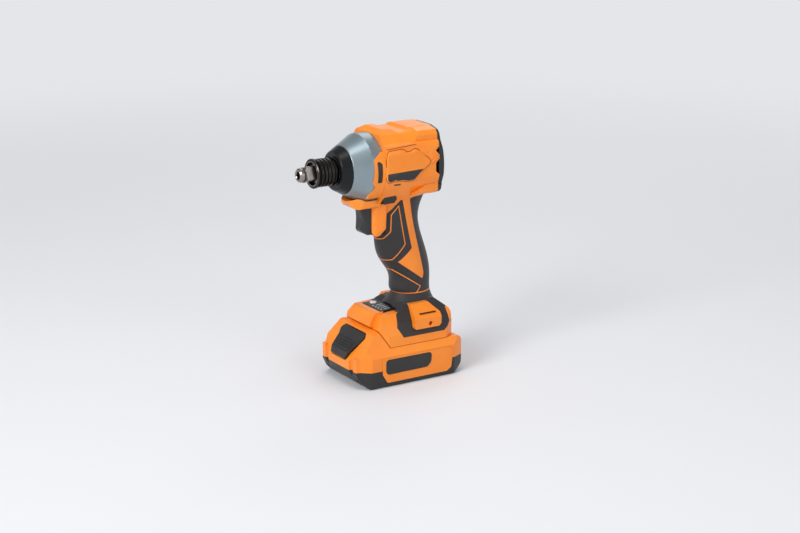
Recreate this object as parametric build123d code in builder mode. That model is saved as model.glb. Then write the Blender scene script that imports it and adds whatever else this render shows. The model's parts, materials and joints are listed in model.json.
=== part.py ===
from build123d import *
import os
from math import acos, cos, pi, radians, sin, tan

# Cordless impact driver with a slide-on battery pack, in millimetres.
# +X runs along the spindle towards the bit, +Y is the tool's left and +Z is up.
# The origin is the middle of the face that the battery pack stands on.
# Outlines are lists of (first, second, corner radius); a corner without a radius is sharp.

# Clearances: fixed pieces, running shafts, pieces that move apart
seat_gap = 0.05
running_fit = 0.05
moving_gap = 0.4

# Head: heights are measured from the spindle line
spindle_height = 197.5
head_front = 25.0
head_rear = -31.0
head_half_width = 31.6
crown_bump = 35.3
crown_dip = 32.0
crown_rear = 34.8
hood_half_width = 27.5
hood_foot = 24.2
rear_block_half_width = 29.4
rear_block_top = -15.6
head_underside = -31.0
bay_radius = 28.2
ear_inner_radius = 29.2
ear_thickness = 2.8
chin_tip = 49.5
chin_half_width = 17.0
chin_underside = -35.2
chin_rim = -20.5

# Rear cap
cap_depth = 10.8
cap_wall = 2.4
cap_seat_depth = 1.6
cap_screw_length = 11.0

# Gear case and nose
case_shoulder = 36.5
case_radius = 31.1
case_cone_end = 52.3
case_cone_radius = 22.4
case_rear = -3.0
nose_end = 61.0
nose_tube_radius = 15.5
bumper_tip_radius = 17.5
hammer_bay_radius = 21.5

# Drive train stations along the spindle line
gear_module = 0.8
sun_teeth = 12
planet_teeth = 18
ring_teeth = 48
planet_count = 3
pressure_angle = radians(25)
tooth_slack = 0.07
gear_rear = 1.2
gear_length = 8.6
ring_outer_radius = 24.0
carrier_radius = 18.0
carrier_thickness = 3.6
spindle_radius = 9.0
spindle_end = 35.5
spigot_radius = 4.0
spigot_length = 6.0
planet_pin_radius = 2.4
hammer_radius = 20.4
hammer_rear = 18.0
hammer_front = 37.0
jaw_height = 4.6
cam_ball_radius = 2.2
hammer_wire = 2.6
hammer_coil_radius = 14.0

# Anvil, sleeve and their small pieces
anvil_radius = 8.3
anvil_tip = 96.5
wing_thickness = 5.0
wing_radius = 19.6
bush_outer_radius = 11.0
square_size = 12.7
square_turn = 22.0
square_rear = 79.0
square_front = 90.4
tip_radius = 6.4
ring_groove_width = 1.6
ring_groove_radius = 5.2
hex_socket_size = 6.6
hex_socket_depth = 40.0
sleeve_rear = 61.8
sleeve_front = 82.6
sleeve_radius = 12.6
sleeve_rim_radius = 13.4
sleeve_chamber_radius = 10.6
sleeve_land = 5.0
stop_washer_width = 1.2
detent_ball_radius = 1.75

# Motor
stator_radius = 23.0
stator_rear = -24.0
stator_front = -6.0
stator_bore = 11.9
stator_teeth = 6
rotor_radius = 11.2
shaft_radius = 2.5
pinion_seat_radius = 2.0
motor_bearing_radius = 6.5
motor_bearing_width = 4.4
fan_radius = 21.0
fan_rear = -33.4
fan_front = -27.2
fan_blades = 11
fan_gap = 0.8

# Handle: (height, middle along X, half length, half width) of its oval sections
grip_thickness = 2.0
housing_wall = 2.2
handle_sections = [
    (178.0, -6.0, 29.6, 17.0),
    (163.0, -4.1, 26.1, 16.8),
    (149.0, -2.1, 23.9, 16.5),
    (134.0, -5.2, 22.8, 16.6),
    (119.0, -8.6, 24.4, 17.0),
    (106.0, -13.6, 23.2, 17.0),
    (92.0, -18.5, 19.9, 16.5),
    (76.6, -20.0, 18.6, 16.1),
]
ring_height = 76.6
ring_line_width = 1.1
stripe_width = 0.9

# Trigger, bracket and controls
bracket_front = 27.5
bracket_rear = 15.0
bracket_half_width = 14.6
bracket_bottom = 134.6
trigger_tip = 36.2
trigger_top = 162.0
trigger_bottom = 136.0
trigger_half_width = 9.6
trigger_travel = 6.5
trigger_rear = 21.0
switch_front = trigger_rear - trigger_travel - 1.0
switch_rear = -8.0
switch_top = 158.0
switch_bottom = 139.0
switch_half_width = 9.4
plunger_radius = 2.6
plunger_height = 150.0
spring_bore_radius = 5.2
spring_bore_depth = 6.5
trigger_coil_radius = 4.1
trigger_wire = 0.8
lever_middle_x = 14.0
lever_middle_z = 169.2
lever_reach = 20.2
lever_throw = 2.5
lever_inner = 14.5 + lever_throw

# Work lamp in the slope under the chin
lamp_point = Vector(47.2, 0, 165.2)
lamp_direction = Vector(0.731, 0, -0.682)
lamp_radius = 2.6
lamp_length = 2.4

# Foot
foot_bottom = 36.0
foot_half_width = 34.7
foot_rear = -50.0
foot_top = 71.5
boot_thickness = 1.6
rail_roof = 46.2
rail_lip_height = 4.6
rail_opening = 23.2
rail_channel = 27.4
panel_height = 65.0
panel_seat = 63.6
panel_rear = 5.0
panel_front = 22.6
panel_half_width = 16.6
panel_button_radius = 3.2
panel_button_travel = 0.8
hook_half_width = 36.2
hook_hole_radius = 2.0
hook_hole_depth = 9.0
hook_hole_x = -19.6
hook_hole_z = 52.8
hook_boss_radius = 4.0
hook_boss_inner = 25.0

# Battery pack
pack_front = 57.3
pack_rear = -57.0
pack_half_width = 38.0
pack_seam = 16.5
pack_shoulder = 29.0
pack_deck = 35.6
pack_wall = 2.2
post_height = 29.6
cell_radius = 9.1
cell_length = 65.0
cell_count = 5
cell_pitch = 18.7
cell_height = 12.2
button_top_half_width = 17.6
button_half_width = 20.4
button_corner_height = 44.6
button_lip_half_width = 14.2
button_lip_height = 31.6
button_foot_half_width = 12.2
button_travel = 3.0
plate_depth = 1.0
release_direction = Vector(-0.956, 0, -0.293)
tower_rear = -35.4
blade_spacing = 6.0
blade_count = 5
blade_thickness = 0.8
terminal_front = -36.0
blade_tip = -24.0
tower_stem = 22.6
tower_flange = 26.6
tower_top = 45.4
tower_front = 22.0
flange_bottom = 41.0
latch_coil_radius = 2.6
latch_wire = 0.7

# Screws
screw_radius = 1.5
screw_head_radius = 2.8
screw_head_height = 2.0
boss_radius = 4.4
# (x, z, distance of the head's seat from the middle plane)
housing_screw_seats = [
    (12.0, 228.0, 13.0),
    (-18.0, 227.6, 15.0),
    (-4.0, 162.6, 9.0),
    (-13.5, 105.5, 10.0),
    (18.0, 56.0, 16.0),
    (-37.5, 54.0, 20.0),
]
# (y, height from the spindle line)
cap_screw_seats = [(20.0, 26.0), (-20.0, 26.0), (22.4, -20.6), (-22.4, -20.6)]
# (x, y)
battery_screw_seats = [(51.0, 26.0), (51.0, -26.0), (-51.0, 26.0), (-51.0, -26.0)]
battery_screw_seat_height = 9.0
battery_boss_radius = 3.6
battery_screw_length = 15.0
battery_screw_radius = 1.2
battery_screw_head = 2.2

spindle_line = Axis((0, 0, spindle_height), (1, 0, 0))
reach = 120.0


def outline(points, plane):
    """Closed face on a plane, with the corner radii that the points give."""
    corners = [(*point, 0)[:3] for point in points]
    with BuildSketch(plane) as face:
        with BuildLine():
            FilletPolyline(
                *[(u, v) for u, v, _ in corners],
                radius=[r for _, _, r in corners],
                close=True,
            )
        make_face()
    return face.sketch


def both_sides(half):
    """Outline that is the same on the left and the right of the middle plane."""
    return half + [(-point[0], *point[1:]) for point in reversed(half)]


def both_sides_plan(half):
    """Top view that is the same on the left and the right of the middle plane."""
    return half + [(point[0], -point[1], *point[2:]) for point in reversed(half)]


def across(points, start, end, mode=Mode.ADD):
    """Prism of a side view (x, z) from one Y to another."""
    extrude(outline(points, Plane.XZ.offset(-start)), amount=start - end, mode=mode)


def along(points, start, end, mode=Mode.ADD):
    """Prism of an end view (y, z) from one X to another."""
    extrude(outline(points, Plane.YZ.offset(start)), amount=end - start, mode=mode)


def upward(points, start, end, mode=Mode.ADD):
    """Prism of a top view (x, y) from one height to another."""
    extrude(outline(points, Plane.XY.offset(start)), amount=end - start, mode=mode)


def turned(points, mode=Mode.ADD):
    """Solid turned about the spindle line from (x, radius) points."""
    raised = [(point[0], spindle_height + point[1], *point[2:]) for point in points]
    revolve(outline(raised, Plane.XZ), axis=spindle_line, mode=mode)


def tube(rear, front, inner, outer, mode=Mode.ADD):
    """Plain ring about the spindle line."""
    turned([(rear, inner), (front, inner), (front, outer), (rear, outer)], mode)


def rod(start, direction, radius, length, mode=Mode.ADD):
    """Round bar from a point along a direction."""
    with BuildSketch(Plane(origin=start, z_dir=direction)) as section:
        Circle(radius)
    extrude(section.sketch, amount=length, mode=mode)


def block(low, high, mode=Mode.ADD):
    """Box between two corners."""
    middle = tuple((a + b) / 2 for a, b in zip(low, high))
    with Locations(middle):
        Box(*[b - a for a, b in zip(low, high)], mode=mode)


def crossed(end_view, side_view, top_view=None):
    """Solid with a given end view (y, z), side view (x, z) and top view (x, y)."""
    with BuildPart() as form:
        across(side_view, -reach, reach)
        along(end_view, -reach, reach, mode=Mode.INTERSECT)
        if top_view:
            upward(top_view, -reach, 3 * reach, mode=Mode.INTERSECT)
    return form.part


def raised(points):
    """Points whose second value is measured from the spindle line."""
    return [(point[0], spindle_height + point[1], *point[2:]) for point in points]


def spring(start, direction, radius, wire, length, turns):
    """Coil of round wire, as one unbroken tube."""
    with BuildPart() as coil:
        with BuildLine() as path:
            Helix(length / turns, length, radius, center=start, direction=direction)
        with BuildSketch(Plane(origin=path.line @ 0, z_dir=path.line % 0)):
            Circle(wire / 2)
        sweep(path=path.line, is_frenet=True)
    return coil.part


def finish(piece, name):
    """Names a piece and writes it to its own file."""
    piece.label = name
    export_step(piece, f"parts/{name}.step")


os.makedirs("parts", exist_ok=True)

# Handle form, as a stack of ovals; the inset versions are the core and the cavity
def handle_form(inset):
    """Handle inside its outer surface by an inset."""
    with BuildPart() as form:
        for height, middle, half_length, half_width in handle_sections:
            with BuildSketch(Plane.XY.offset(height)):
                with Locations((middle, 0)):
                    Ellipse(half_length - inset, half_width - inset)
        loft()
    return form.part


# Foot form: a faceted shoe with a flared collar that meets the handle
foot_front_slope = [(22.2, foot_bottom), (31.6, 51.4, 1.0)]
foot_plan = [(31.8, 28.6, 2.0), (22.9, foot_half_width, 3.0), (-38.0, foot_half_width, 8.0),
             (foot_rear, 26.0, 8.0)]


def foot_form(inset):
    """Foot inside its outer surface by an inset."""
    end_view = both_sides([
        (foot_half_width - inset, foot_bottom),
        (33.6 - inset, 46.0, 3.0),
        (29.8 - inset, 56.0, 5.0),
        (22.8 - inset, 66.8, 4.0),
        (16.0 - inset, foot_top + 2.0),
    ])
    side_view = foot_front_slope + [
        (25.4, 63.6, 1.5),
        (panel_rear, panel_height - inset, 2.0),
        (-1.0, 69.4 - inset, 4.0),
        (-33.0 + inset, foot_top - inset, 6.0),
        (-45.6 + inset, 61.0, 5.0),
        (foot_rear + inset, foot_bottom),
    ]
    shoe = crossed(end_view, side_view, both_sides_plan(foot_plan))
    with BuildPart() as form:
        add(shoe)
        for height, middle, half_length, half_width in (
            (64.5, -17.6, 26.6, 25.0),
            (70.5, -19.0, 21.4, 19.4),
            (ring_height, handle_sections[-1][1], handle_sections[-1][2], handle_sections[-1][3]),
        ):
            with BuildSketch(Plane.XY.offset(height)):
                with Locations((middle, 0)):
                    Ellipse(half_length - inset, half_width - inset)
        loft()
    return form.part


handle_outer = handle_form(0)
handle_core = handle_form(grip_thickness)
handle_cavity = handle_form(grip_thickness + housing_wall)
foot_outer = foot_form(0)
foot_core = foot_form(boot_thickness)

# Side view of what stays bare hard plastic on the handle, with the pinstripes
bare_handle = [
    (40.0, 185.0), (-45.0, 185.0), (-45.0, 168.0), (-8.6, 168.0, 2.0), (-24.6, 95.5),
    (-23.4, 89.6, 1.0), (1.8, 108.4, 0.6), (-11.2, 120.6, 0.8), (-1.0, 168.2, 1.0),
    (13.4, 155.2, 1.0), (13.6, 141.6, 2.0), (18.4, 135.4), (40.0, 134.0),
]
stripe_runs = [
    [(24.0, 127.0), (14.0, 131.2), (9.2, 137.8), (9.4, 153.6), (2.6, 161.6), (-4.2, 125.2), (6.4, 110.9),
     (24.0, 106.4)],
    [(20.0, 97.4), (3.8, 100.0), (-21.0, 83.0), (-14.6, 74.0)],
]
with BuildPart() as bare_zone:
    across(bare_handle, -reach, reach)
    with BuildSketch(Plane.XZ) as stripes:
        for run in stripe_runs:
            with BuildLine() as stripe:
                Polyline(*run)
            trace(stripe.line, stripe_width)
    extrude(amount=reach, both=True)

# Side view of the foot's rubber
boot_outline = [
    (6.0, 95.0), (6.0, 66.4), (10.8, 63.4, 1.0), (13.4, 52.4, 1.0), (8.0, 43.0, 1.0), (-36.0, 43.0, 1.0),
    (-42.0, 48.4, 1.0), (-70.0, 48.4), (-70.0, 95.0),
]
rear_patch = [(-42.8, 50.6, 1.0), (-70.0, 50.6), (-70.0, 63.0), (-41.6, 63.0, 1.0)]
with BuildPart() as boot_zone:
    across(boot_outline, -reach, reach)
    across(rear_patch, -reach, reach, mode=Mode.SUBTRACT)

# Ears of the housing that lap over the gear case, each with a window
ear_outline = [
    (20.0, 18.0), (27.2, 18.0, 0.8), (35.8, 12.2, 1.6), (37.4, -8.9, 0.6), (34.6, -12.9, 0.6),
    (38.4, -20.0, 0.6), (38.4, -24.0), (20.0, -24.0),
]
window_outline = [(28.0, 8.0, 1.6), (31.4, 10.8, 1.4), (33.4, 9.6, 1.0), (33.2, -8.6, 1.0), (28.2, -8.6, 1.0)]


def ear_band(inner, outer, side_view, grow):
    """Part of a band about the spindle line that a side view keeps."""
    with BuildPart() as band:
        tube(head_front - 6, case_shoulder + 3, inner, outer)
        with BuildSketch(Plane.XZ) as kept:
            add(outline(raised(side_view), Plane.XY))
            offset(amount=grow, kind=Kind.INTERSECTION)
        extrude(amount=reach, both=True, mode=Mode.INTERSECT)
    return band.part


ears = ear_band(ear_inner_radius, ear_inner_radius + ear_thickness, ear_outline, 0)
ear_room = ear_band(ear_inner_radius - seat_gap, case_radius + 5, ear_outline, seat_gap)
windows = ear_band(ear_inner_radius - 1, ear_inner_radius + ear_thickness + 1, window_outline, 0)

# Hard outer form of the whole housing
head_view = both_sides([
    (10.5, 37.0, 4.0), (20.5, 31.0, 5.0), (hood_half_width - 0.5, hood_foot, 0.6),
    (30.2, 22.4, 1.2), (head_half_width, 14.5, 5.0), (head_half_width, -9.0, 5.0),
    (29.0, -16.0, 4.0), (22.5, -24.5, 3.0), (16.6, head_underside, 2.0),
])
crown_line = [
    (head_rear, -25.2), (-18.0, -25.2, 4.0), (-4.0, -33.0), (head_front, -60.0), (head_front, 31.6),
    (19.0, crown_bump, 3.0),
    (11.0, crown_bump - 0.3, 6.0), (4.0, crown_dip, 6.0), (-4.6, crown_dip + 0.4, 3.0),
    (-8.0, crown_rear, 2.0), (-25.0, crown_rear + 0.2, 8.0), (head_rear, crown_rear - 0.8),
]
barrel = crossed(raised(head_view), raised(crown_line))
hood = crossed(
    raised(both_sides([
        (13.0, crown_rear, 4.0), (24.6, 32.4, 2.5), (hood_half_width, 29.0, 2.0), (hood_half_width,
                                                                                   hood_foot),
    ])),
    raised([(head_rear, 20.0), (-5.0, 20.0), (-7.0, hood_foot), (-12.5, 36.0), (head_rear, 36.0)]),
)
rear_block = crossed(
    raised(both_sides([
        (rear_block_half_width, rear_block_top), (rear_block_half_width, -22.6, 2.0), (25.6, -25.6, 2.0),
    ])),
    raised([
        (head_rear, rear_block_top), (-17.6, rear_block_top - 0.8, 1.0), (-6.0, -23.2, 1.0), (-6.0, -30.0),
        (head_rear, -30.0),
    ]),
)
chin = crossed(
    raised(both_sides([
        (chin_half_width - 2.0, chin_underside, 3.0), (chin_half_width, chin_underside + 5.0, 2.0),
        (chin_half_width, chin_rim),
    ])),
    raised([
        (8.0, chin_underside), (chin_tip - 5.0, chin_underside, 4.0), (chin_tip + 0.6, -29.2, 4.0),
        (chin_tip, chin_rim, 1.5), (8.0, chin_rim),
    ]),
    both_sides_plan([
        (chin_tip, 6.0, 6.0), (chin_tip - 9.0, chin_half_width - 1.5, 8.0), (8.0, chin_half_width),
    ]),
)
bracket = crossed(
    both_sides([
        (bracket_half_width - 1.5, bracket_bottom), (bracket_half_width, bracket_bottom + 6.0),
        (bracket_half_width + 2.0, spindle_height + head_underside + 2.0),
    ]),
    [(bracket_rear, 142.0, 2.0), (20.4, 136.0, 1.5), (24.4, bracket_bottom, 2.0),
     (bracket_front, 139.0, 3.0), (bracket_front, 175.0), (bracket_rear, 175.0)],
    both_sides_plan([(bracket_front, bracket_half_width - 1.6, 5.0), (bracket_rear,
                                                                      bracket_half_width + 1.0)]),
)
front_block = crossed(
    both_sides([(18.6, 50.0), (17.6, 67.0)]),
    [(20.0, 56.0), (32.6, 52.2, 0.5), (36.2, 54.0, 1.2), (28.8, 65.4, 2.4), (20.0, 65.6)],
)

with BuildPart() as bare_handle_form:
    add(bare_zone.part)
    block((-reach, -reach, ring_height), (reach, reach, ring_height + ring_line_width))
    add(handle_outer, mode=Mode.INTERSECT)
with BuildPart() as bare_foot_form:
    add(foot_outer)
    add(boot_zone.part, mode=Mode.SUBTRACT)

# Room that the housing leaves for the gear case, the motor and its rear opening
motor_room = [
    (head_rear - 1, 0), (head_rear - 1, bay_radius), (stator_rear + 1, bay_radius),
    (stator_rear + 1, stator_radius + seat_gap), (stator_rear + 4, stator_radius + seat_gap),
    (stator_rear + 4, bay_radius), (stator_front - 4, bay_radius),
    (stator_front - 4, stator_radius + seat_gap), (stator_front - 1, stator_radius + seat_gap),
    (stator_front - 1, bay_radius), (case_rear, bay_radius + seat_gap),
    (head_front, bay_radius + seat_gap), (head_front + 40, bay_radius + seat_gap), (head_front + 40, 0),
]
chin_room = [
    (head_front, 0), (head_front, case_radius + 0.8), (case_shoulder, case_radius + 0.8),
    (case_cone_end, case_cone_radius + 1.0), (case_cone_end + 20, 14), (case_cone_end + 20, 0),
]

with BuildPart() as housing_form:
    add(barrel)
    add(hood)
    add(rear_block)
    add(chin)
    add(bracket)
    turned(chin_room, mode=Mode.SUBTRACT)
    add(ears)
    add(windows, mode=Mode.SUBTRACT)
    add(handle_core)
    add(bare_handle_form.part)
    add(foot_core)
    add(bare_foot_form.part)
    add(front_block)

foot_room = [(22.0, 50.0), (28.0, 54.6), (23.0, 61.4), (-36.0, 61.4), (-44.0, 56.0), (-45.0, 50.0)]
lever_outline = [(7.0, -3.5, 1.2), (7.0, 3.0, 1.2), (-4.2, 3.7, 1.2), (-7.4, 0.4, 1.0), (-4.4, -3.1, 1.2)]
lever_view = [(lever_middle_x + x, lever_middle_z + z, r) for x, z, r in lever_outline]
lever_room = [
    (lever_middle_x + x * (1 + moving_gap / 5), lever_middle_z + z * (1 + moving_gap / 3), r) for x, z,
    r in lever_outline
]
vent_upper = [(head_rear, 17.6), (head_rear + 3.8, 14.4), (head_rear, 10.0)]
vent_main = [(head_rear, 6.6), (head_rear + 3.6, 3.0), (head_rear + 3.6, -4.6), (head_rear, -8.0)]

# Bay that the switch sits in, and the opening that the trigger slides in, through core and rubber
with BuildPart() as switch_bay:
    block((switch_rear - seat_gap, -switch_half_width - seat_gap, switch_bottom - seat_gap),
          (switch_front, switch_half_width + seat_gap, switch_top + seat_gap))
with BuildPart() as trigger_opening:
    block((switch_front - 0.5, -trigger_half_width - moving_gap, trigger_bottom - moving_gap),
          (bracket_front + 30, trigger_half_width + moving_gap, trigger_top + moving_gap))

with BuildPart() as housing_room:
    add(handle_cavity)
    across(foot_room, -foot_half_width + 13, foot_half_width - 13)
    # Screw bosses, and the ribs that hold the switch from both sides, stay solid
    for x, z, seat in housing_screw_seats:
        rod((x, -reach, z), (0, 1, 0), boss_radius, 2 * reach, mode=Mode.SUBTRACT)
    for side in (-1, 1):
        with Locations((switch_rear + 8, side * (switch_half_width + seat_gap + 10), switch_bottom + 8)):
            Box(12, 20, 4, mode=Mode.SUBTRACT)
    add(switch_bay.part)
    turned(motor_room)
    tube(head_rear - 10, fan_front + fan_gap, 0, fan_radius + fan_gap)
    # Slide channel for the battery pack, open to the front and below
    along(both_sides([(rail_opening, foot_bottom - 1), (rail_opening, foot_bottom + rail_lip_height)]),
          foot_rear + 4, reach)
    along(both_sides([(rail_channel, foot_bottom + rail_lip_height), (rail_channel, rail_roof)]),
          foot_rear + 4, reach)
    add(trigger_opening.part)
    across(lever_room, -reach, reach)
    across(raised(vent_upper), -reach, reach)
    across(raised(vent_main), -reach, reach)
    block((panel_rear - seat_gap, -panel_half_width - seat_gap, panel_seat),
          (panel_front + seat_gap, panel_half_width + seat_gap, foot_top))
    rod(lamp_point - lamp_direction * (lamp_length + seat_gap), lamp_direction, lamp_radius + seat_gap, 20)
    rod((hook_hole_x, -reach, hook_hole_z), (0, 1, 0), hook_boss_radius + seat_gap, 2 * reach)
    for x, z, seat in housing_screw_seats:
        rod((x, -seat - reach, z), (0, 1, 0), screw_head_radius + 0.3, reach)
        rod((x, -seat, z), (0, 1, 0), screw_radius + seat_gap, seat + 7.2)
    for y, z in cap_screw_seats:
        rod((head_rear - 1, y, spindle_height + z), (1, 0, 0), screw_radius + seat_gap, 11)

with BuildPart() as housing:
    add(housing_form.part)
    add(housing_room.part, mode=Mode.SUBTRACT)

with BuildPart() as housing_left:
    add(housing.part)
    split(bisect_by=Plane.XZ, keep=Keep.BOTTOM)
finish(housing_left.part, "housing_left")

with BuildPart() as housing_right:
    add(housing.part)
    split(bisect_by=Plane.XZ, keep=Keep.TOP)
finish(housing_right.part, "housing_right")

# Rubber on the handle and on the foot, a skin over the housing's core on each half
with BuildPart() as skin_ways:
    add(switch_bay.part)
    add(trigger_opening.part)
    for x, z, seat in housing_screw_seats:
        rod((x, -reach, z), (0, 1, 0), screw_head_radius + 0.3, reach)
    rod((hook_hole_x, -reach, hook_hole_z), (0, 1, 0), hook_boss_radius + seat_gap, 2 * reach)
    block((panel_rear - seat_gap, -panel_half_width - seat_gap, panel_seat),
          (panel_front + seat_gap, panel_half_width + seat_gap, foot_top))
with BuildPart() as grip:
    add(handle_outer)
    add(housing_form.part, mode=Mode.SUBTRACT)
    add(skin_ways.part, mode=Mode.SUBTRACT)
with BuildPart() as boot:
    add(foot_outer)
    add(housing_form.part, mode=Mode.SUBTRACT)
    add(skin_ways.part, mode=Mode.SUBTRACT)
for name, skin in (("grip", grip.part), ("boot", boot.part)):
    for side, kept in (("left", Keep.BOTTOM), ("right", Keep.TOP)):
        with BuildPart() as half:
            add(skin)
            split(bisect_by=Plane.XZ, keep=kept)
        finish(half.part, f"{name}_{side}")

# Gear case: cone and cylinder outside, hammer bay and bush seat inside
gear_front = gear_rear + gear_length
plate_front = gear_rear - 0.5
carrier_rear = gear_front + moving_gap
carrier_front = carrier_rear + carrier_thickness
bay_front = hammer_front + jaw_height + 1.8
plate_radius = ring_outer_radius + 1.0
with BuildPart() as gear_case:
    turned([
        (case_rear, plate_radius), (plate_front, plate_radius), (plate_front, ring_outer_radius),
        (carrier_rear, ring_outer_radius), (carrier_rear, hammer_bay_radius), (bay_front,
                                                                               hammer_bay_radius, 2.0),
        (bay_front, bush_outer_radius), (nose_end - 0.5, bush_outer_radius), (nose_end - 0.5,
                                                                              nose_tube_radius),
        (case_cone_end, nose_tube_radius), (case_cone_end, case_cone_radius, 0.6),
        (case_shoulder, case_radius, 1.2), (head_front, case_radius), (head_front, bay_radius),
        (case_rear, bay_radius),
    ])
    add(ear_room, mode=Mode.SUBTRACT)
finish(gear_case.part, "gear_case")

with BuildPart() as nose_bumper:
    turned([
        (case_cone_end, nose_tube_radius + seat_gap), (nose_end, nose_tube_radius + seat_gap),
        (nose_end, bumper_tip_radius, 1.0), (case_cone_end, case_cone_radius, 0.8),
    ])
finish(nose_bumper.part, "nose_bumper")

finish(
    ear_band(ear_inner_radius, ear_inner_radius + ear_thickness - 0.9, window_outline, -seat_gap),
    "nose_inserts",
)

# Rear cap: follows the head's rear view and is rounded off behind
cap_rear = head_rear - cap_depth
cap_view = both_sides([
    (13.0, crown_rear - 0.8, 4.0), (24.4, 31.8, 2.5), (hood_half_width - 0.4, 28.6, 2.0),
    (hood_half_width - 0.6, 22.6, 1.0), (head_half_width - 0.6, 14.0, 6.0), (head_half_width - 0.6, -8.6,
                                                                             6.0),
    (27.8, rear_block_top - 0.8, 0.8), (rear_block_half_width - 0.5, -18.0, 1.0),
    (rear_block_half_width - 0.5, -22.4, 2.0), (25.2, -25.2, 2.0),
])
bearing_rear = cap_rear + cap_wall + 0.3
with BuildPart() as rear_cap:
    add(crossed(raised(cap_view), raised([(head_rear, -60), (head_rear, 60), (cap_rear, 60), (cap_rear,
                                                                                              -60)])))
    turned([
        (head_rear, 0), (head_rear, 46.0), (head_rear - 2.0, 41.5, 2.0), (head_rear - 3.9, 35.0, 8.0),
        (head_rear - 7.4, 25.5, 10.0), (cap_rear, 12.0, 8.0), (cap_rear, 0),
    ], mode=Mode.INTERSECT)
    turned([
        (head_rear + 1, 0), (head_rear + 1, 25.0), (head_rear - 4.0, 25.0, 3.0),
        (cap_rear + cap_wall, 14.0, 3.0), (cap_rear + cap_wall, 0),
    ], mode=Mode.SUBTRACT)
    tube(cap_rear + cap_wall - 0.5, bearing_rear + motor_bearing_width + moving_gap,
         motor_bearing_radius + seat_gap, motor_bearing_radius + 3.0)
    for y, z in cap_screw_seats:
        rod((head_rear - cap_seat_depth, y, spindle_height + z), (-1, 0, 0), screw_head_radius + 0.3, 20,
            mode=Mode.SUBTRACT)
        rod((head_rear + 1, y, spindle_height + z), (-1, 0, 0), screw_radius + seat_gap, 10,
            mode=Mode.SUBTRACT)
finish(rear_cap.part, "rear_cap")


def screw(seat, direction, length, shank, head):
    """Screw whose head sits on a seat and whose shank runs along a direction."""
    seat = Vector(seat)
    direction = Vector(direction)
    rod(seat, direction, shank, length)
    rod(seat, -direction, head, screw_head_height)
    with BuildSketch(Plane(origin=seat - direction * screw_head_height, z_dir=direction)) as drive:
        RegularPolygon(head * 0.5, 6)
    extrude(drive.sketch, amount=1.2, mode=Mode.SUBTRACT)


with BuildPart() as rear_cap_screws:
    for y, z in cap_screw_seats:
        screw((head_rear - cap_seat_depth, y, spindle_height + z), (1, 0, 0), cap_screw_length,
              screw_radius, screw_head_radius)
finish(rear_cap_screws.part, "rear_cap_screws")

with BuildPart() as housing_screws:
    for x, z, seat in housing_screw_seats:
        screw((x, -seat, z), (0, 1, 0), seat + 7, screw_radius, screw_head_radius)
finish(housing_screws.part, "housing_screws")

# Motor: slotted stator, one coil on each tooth, rotor with fan on a shaft in two bearings
stator_length = stator_front - stator_rear
with BuildPart() as stator_core:
    tube(stator_rear, stator_front, stator_radius - 3.4, stator_radius)
    with BuildSketch(Plane.YZ.offset(stator_rear)) as teeth:
        with Locations((0, spindle_height)):
            with PolarLocations(0, stator_teeth):
                with Locations(((stator_radius + stator_bore) / 2 - 1, 0)):
                    Rectangle(stator_radius - stator_bore - 2, 5.0)
                with Locations((stator_bore + 0.9, 0)):
                    Rectangle(1.6, 9.0)
    extrude(teeth.sketch, amount=stator_length)
    tube(stator_rear - 1, stator_front + 1, 0, stator_bore, mode=Mode.SUBTRACT)
finish(stator_core.part, "stator_core")

with BuildPart() as stator_windings:
    with BuildSketch(Plane.YZ.offset(stator_rear - 2.4)) as coils:
        with Locations((0, spindle_height)):
            with PolarLocations(0, stator_teeth):
                with Locations((stator_bore + 4.6, 0)):
                    Rectangle(4.6, 9.6)
    extrude(coils.sketch, amount=stator_length + 4.8)
    with BuildSketch(Plane.YZ.offset(stator_rear)) as cores:
        with Locations((0, spindle_height)):
            with PolarLocations(0, stator_teeth):
                with Locations((stator_bore + 4.6, 0)):
                    Rectangle(6.0, 5.0 + 2 * seat_gap)
    extrude(cores.sketch, amount=stator_length, mode=Mode.SUBTRACT)
finish(stator_windings.part, "stator_windings")

front_bearing_rear = plate_front - 1.1 - motor_bearing_width
with BuildPart() as motor_bearings:
    for start in (bearing_rear, front_bearing_rear):
        tube(start, start + motor_bearing_width, shaft_radius + running_fit, motor_bearing_radius)
finish(motor_bearings.part, "motor_bearings")

with BuildPart() as rotor_shaft:
    turned([
        (bearing_rear - 0.1, 0), (bearing_rear - 0.1, shaft_radius), (plate_front - 1.0, shaft_radius),
        (plate_front - 1.0, pinion_seat_radius), (gear_front - 0.2, pinion_seat_radius),
        (gear_front - 0.2, 0),
    ])
finish(rotor_shaft.part, "rotor_shaft")

with BuildPart() as rotor_core:
    tube(stator_rear, stator_front, shaft_radius, rotor_radius)
finish(rotor_core.part, "rotor_core")

with BuildPart() as cooling_fan:
    tube(fan_rear, fan_front, shaft_radius, 5.0)
    tube(fan_front - 1.2, fan_front, 4.0, fan_radius)
    with BuildSketch(Plane.YZ.offset(fan_rear)) as blades:
        with Locations((0, spindle_height)):
            with PolarLocations(0, fan_blades):
                with Locations(((fan_radius + 9) / 2, 0)):
                    Rectangle(fan_radius - 9.4, 1.1, rotation=14)
    extrude(blades.sketch, amount=fan_front - fan_rear - 0.6)
finish(cooling_fan.part, "cooling_fan")

# Planetary stage: involute teeth with a little slack, in mesh as they stand
def involute(angle):
    """Involute function of a pressure angle."""
    return tan(angle) - angle


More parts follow.
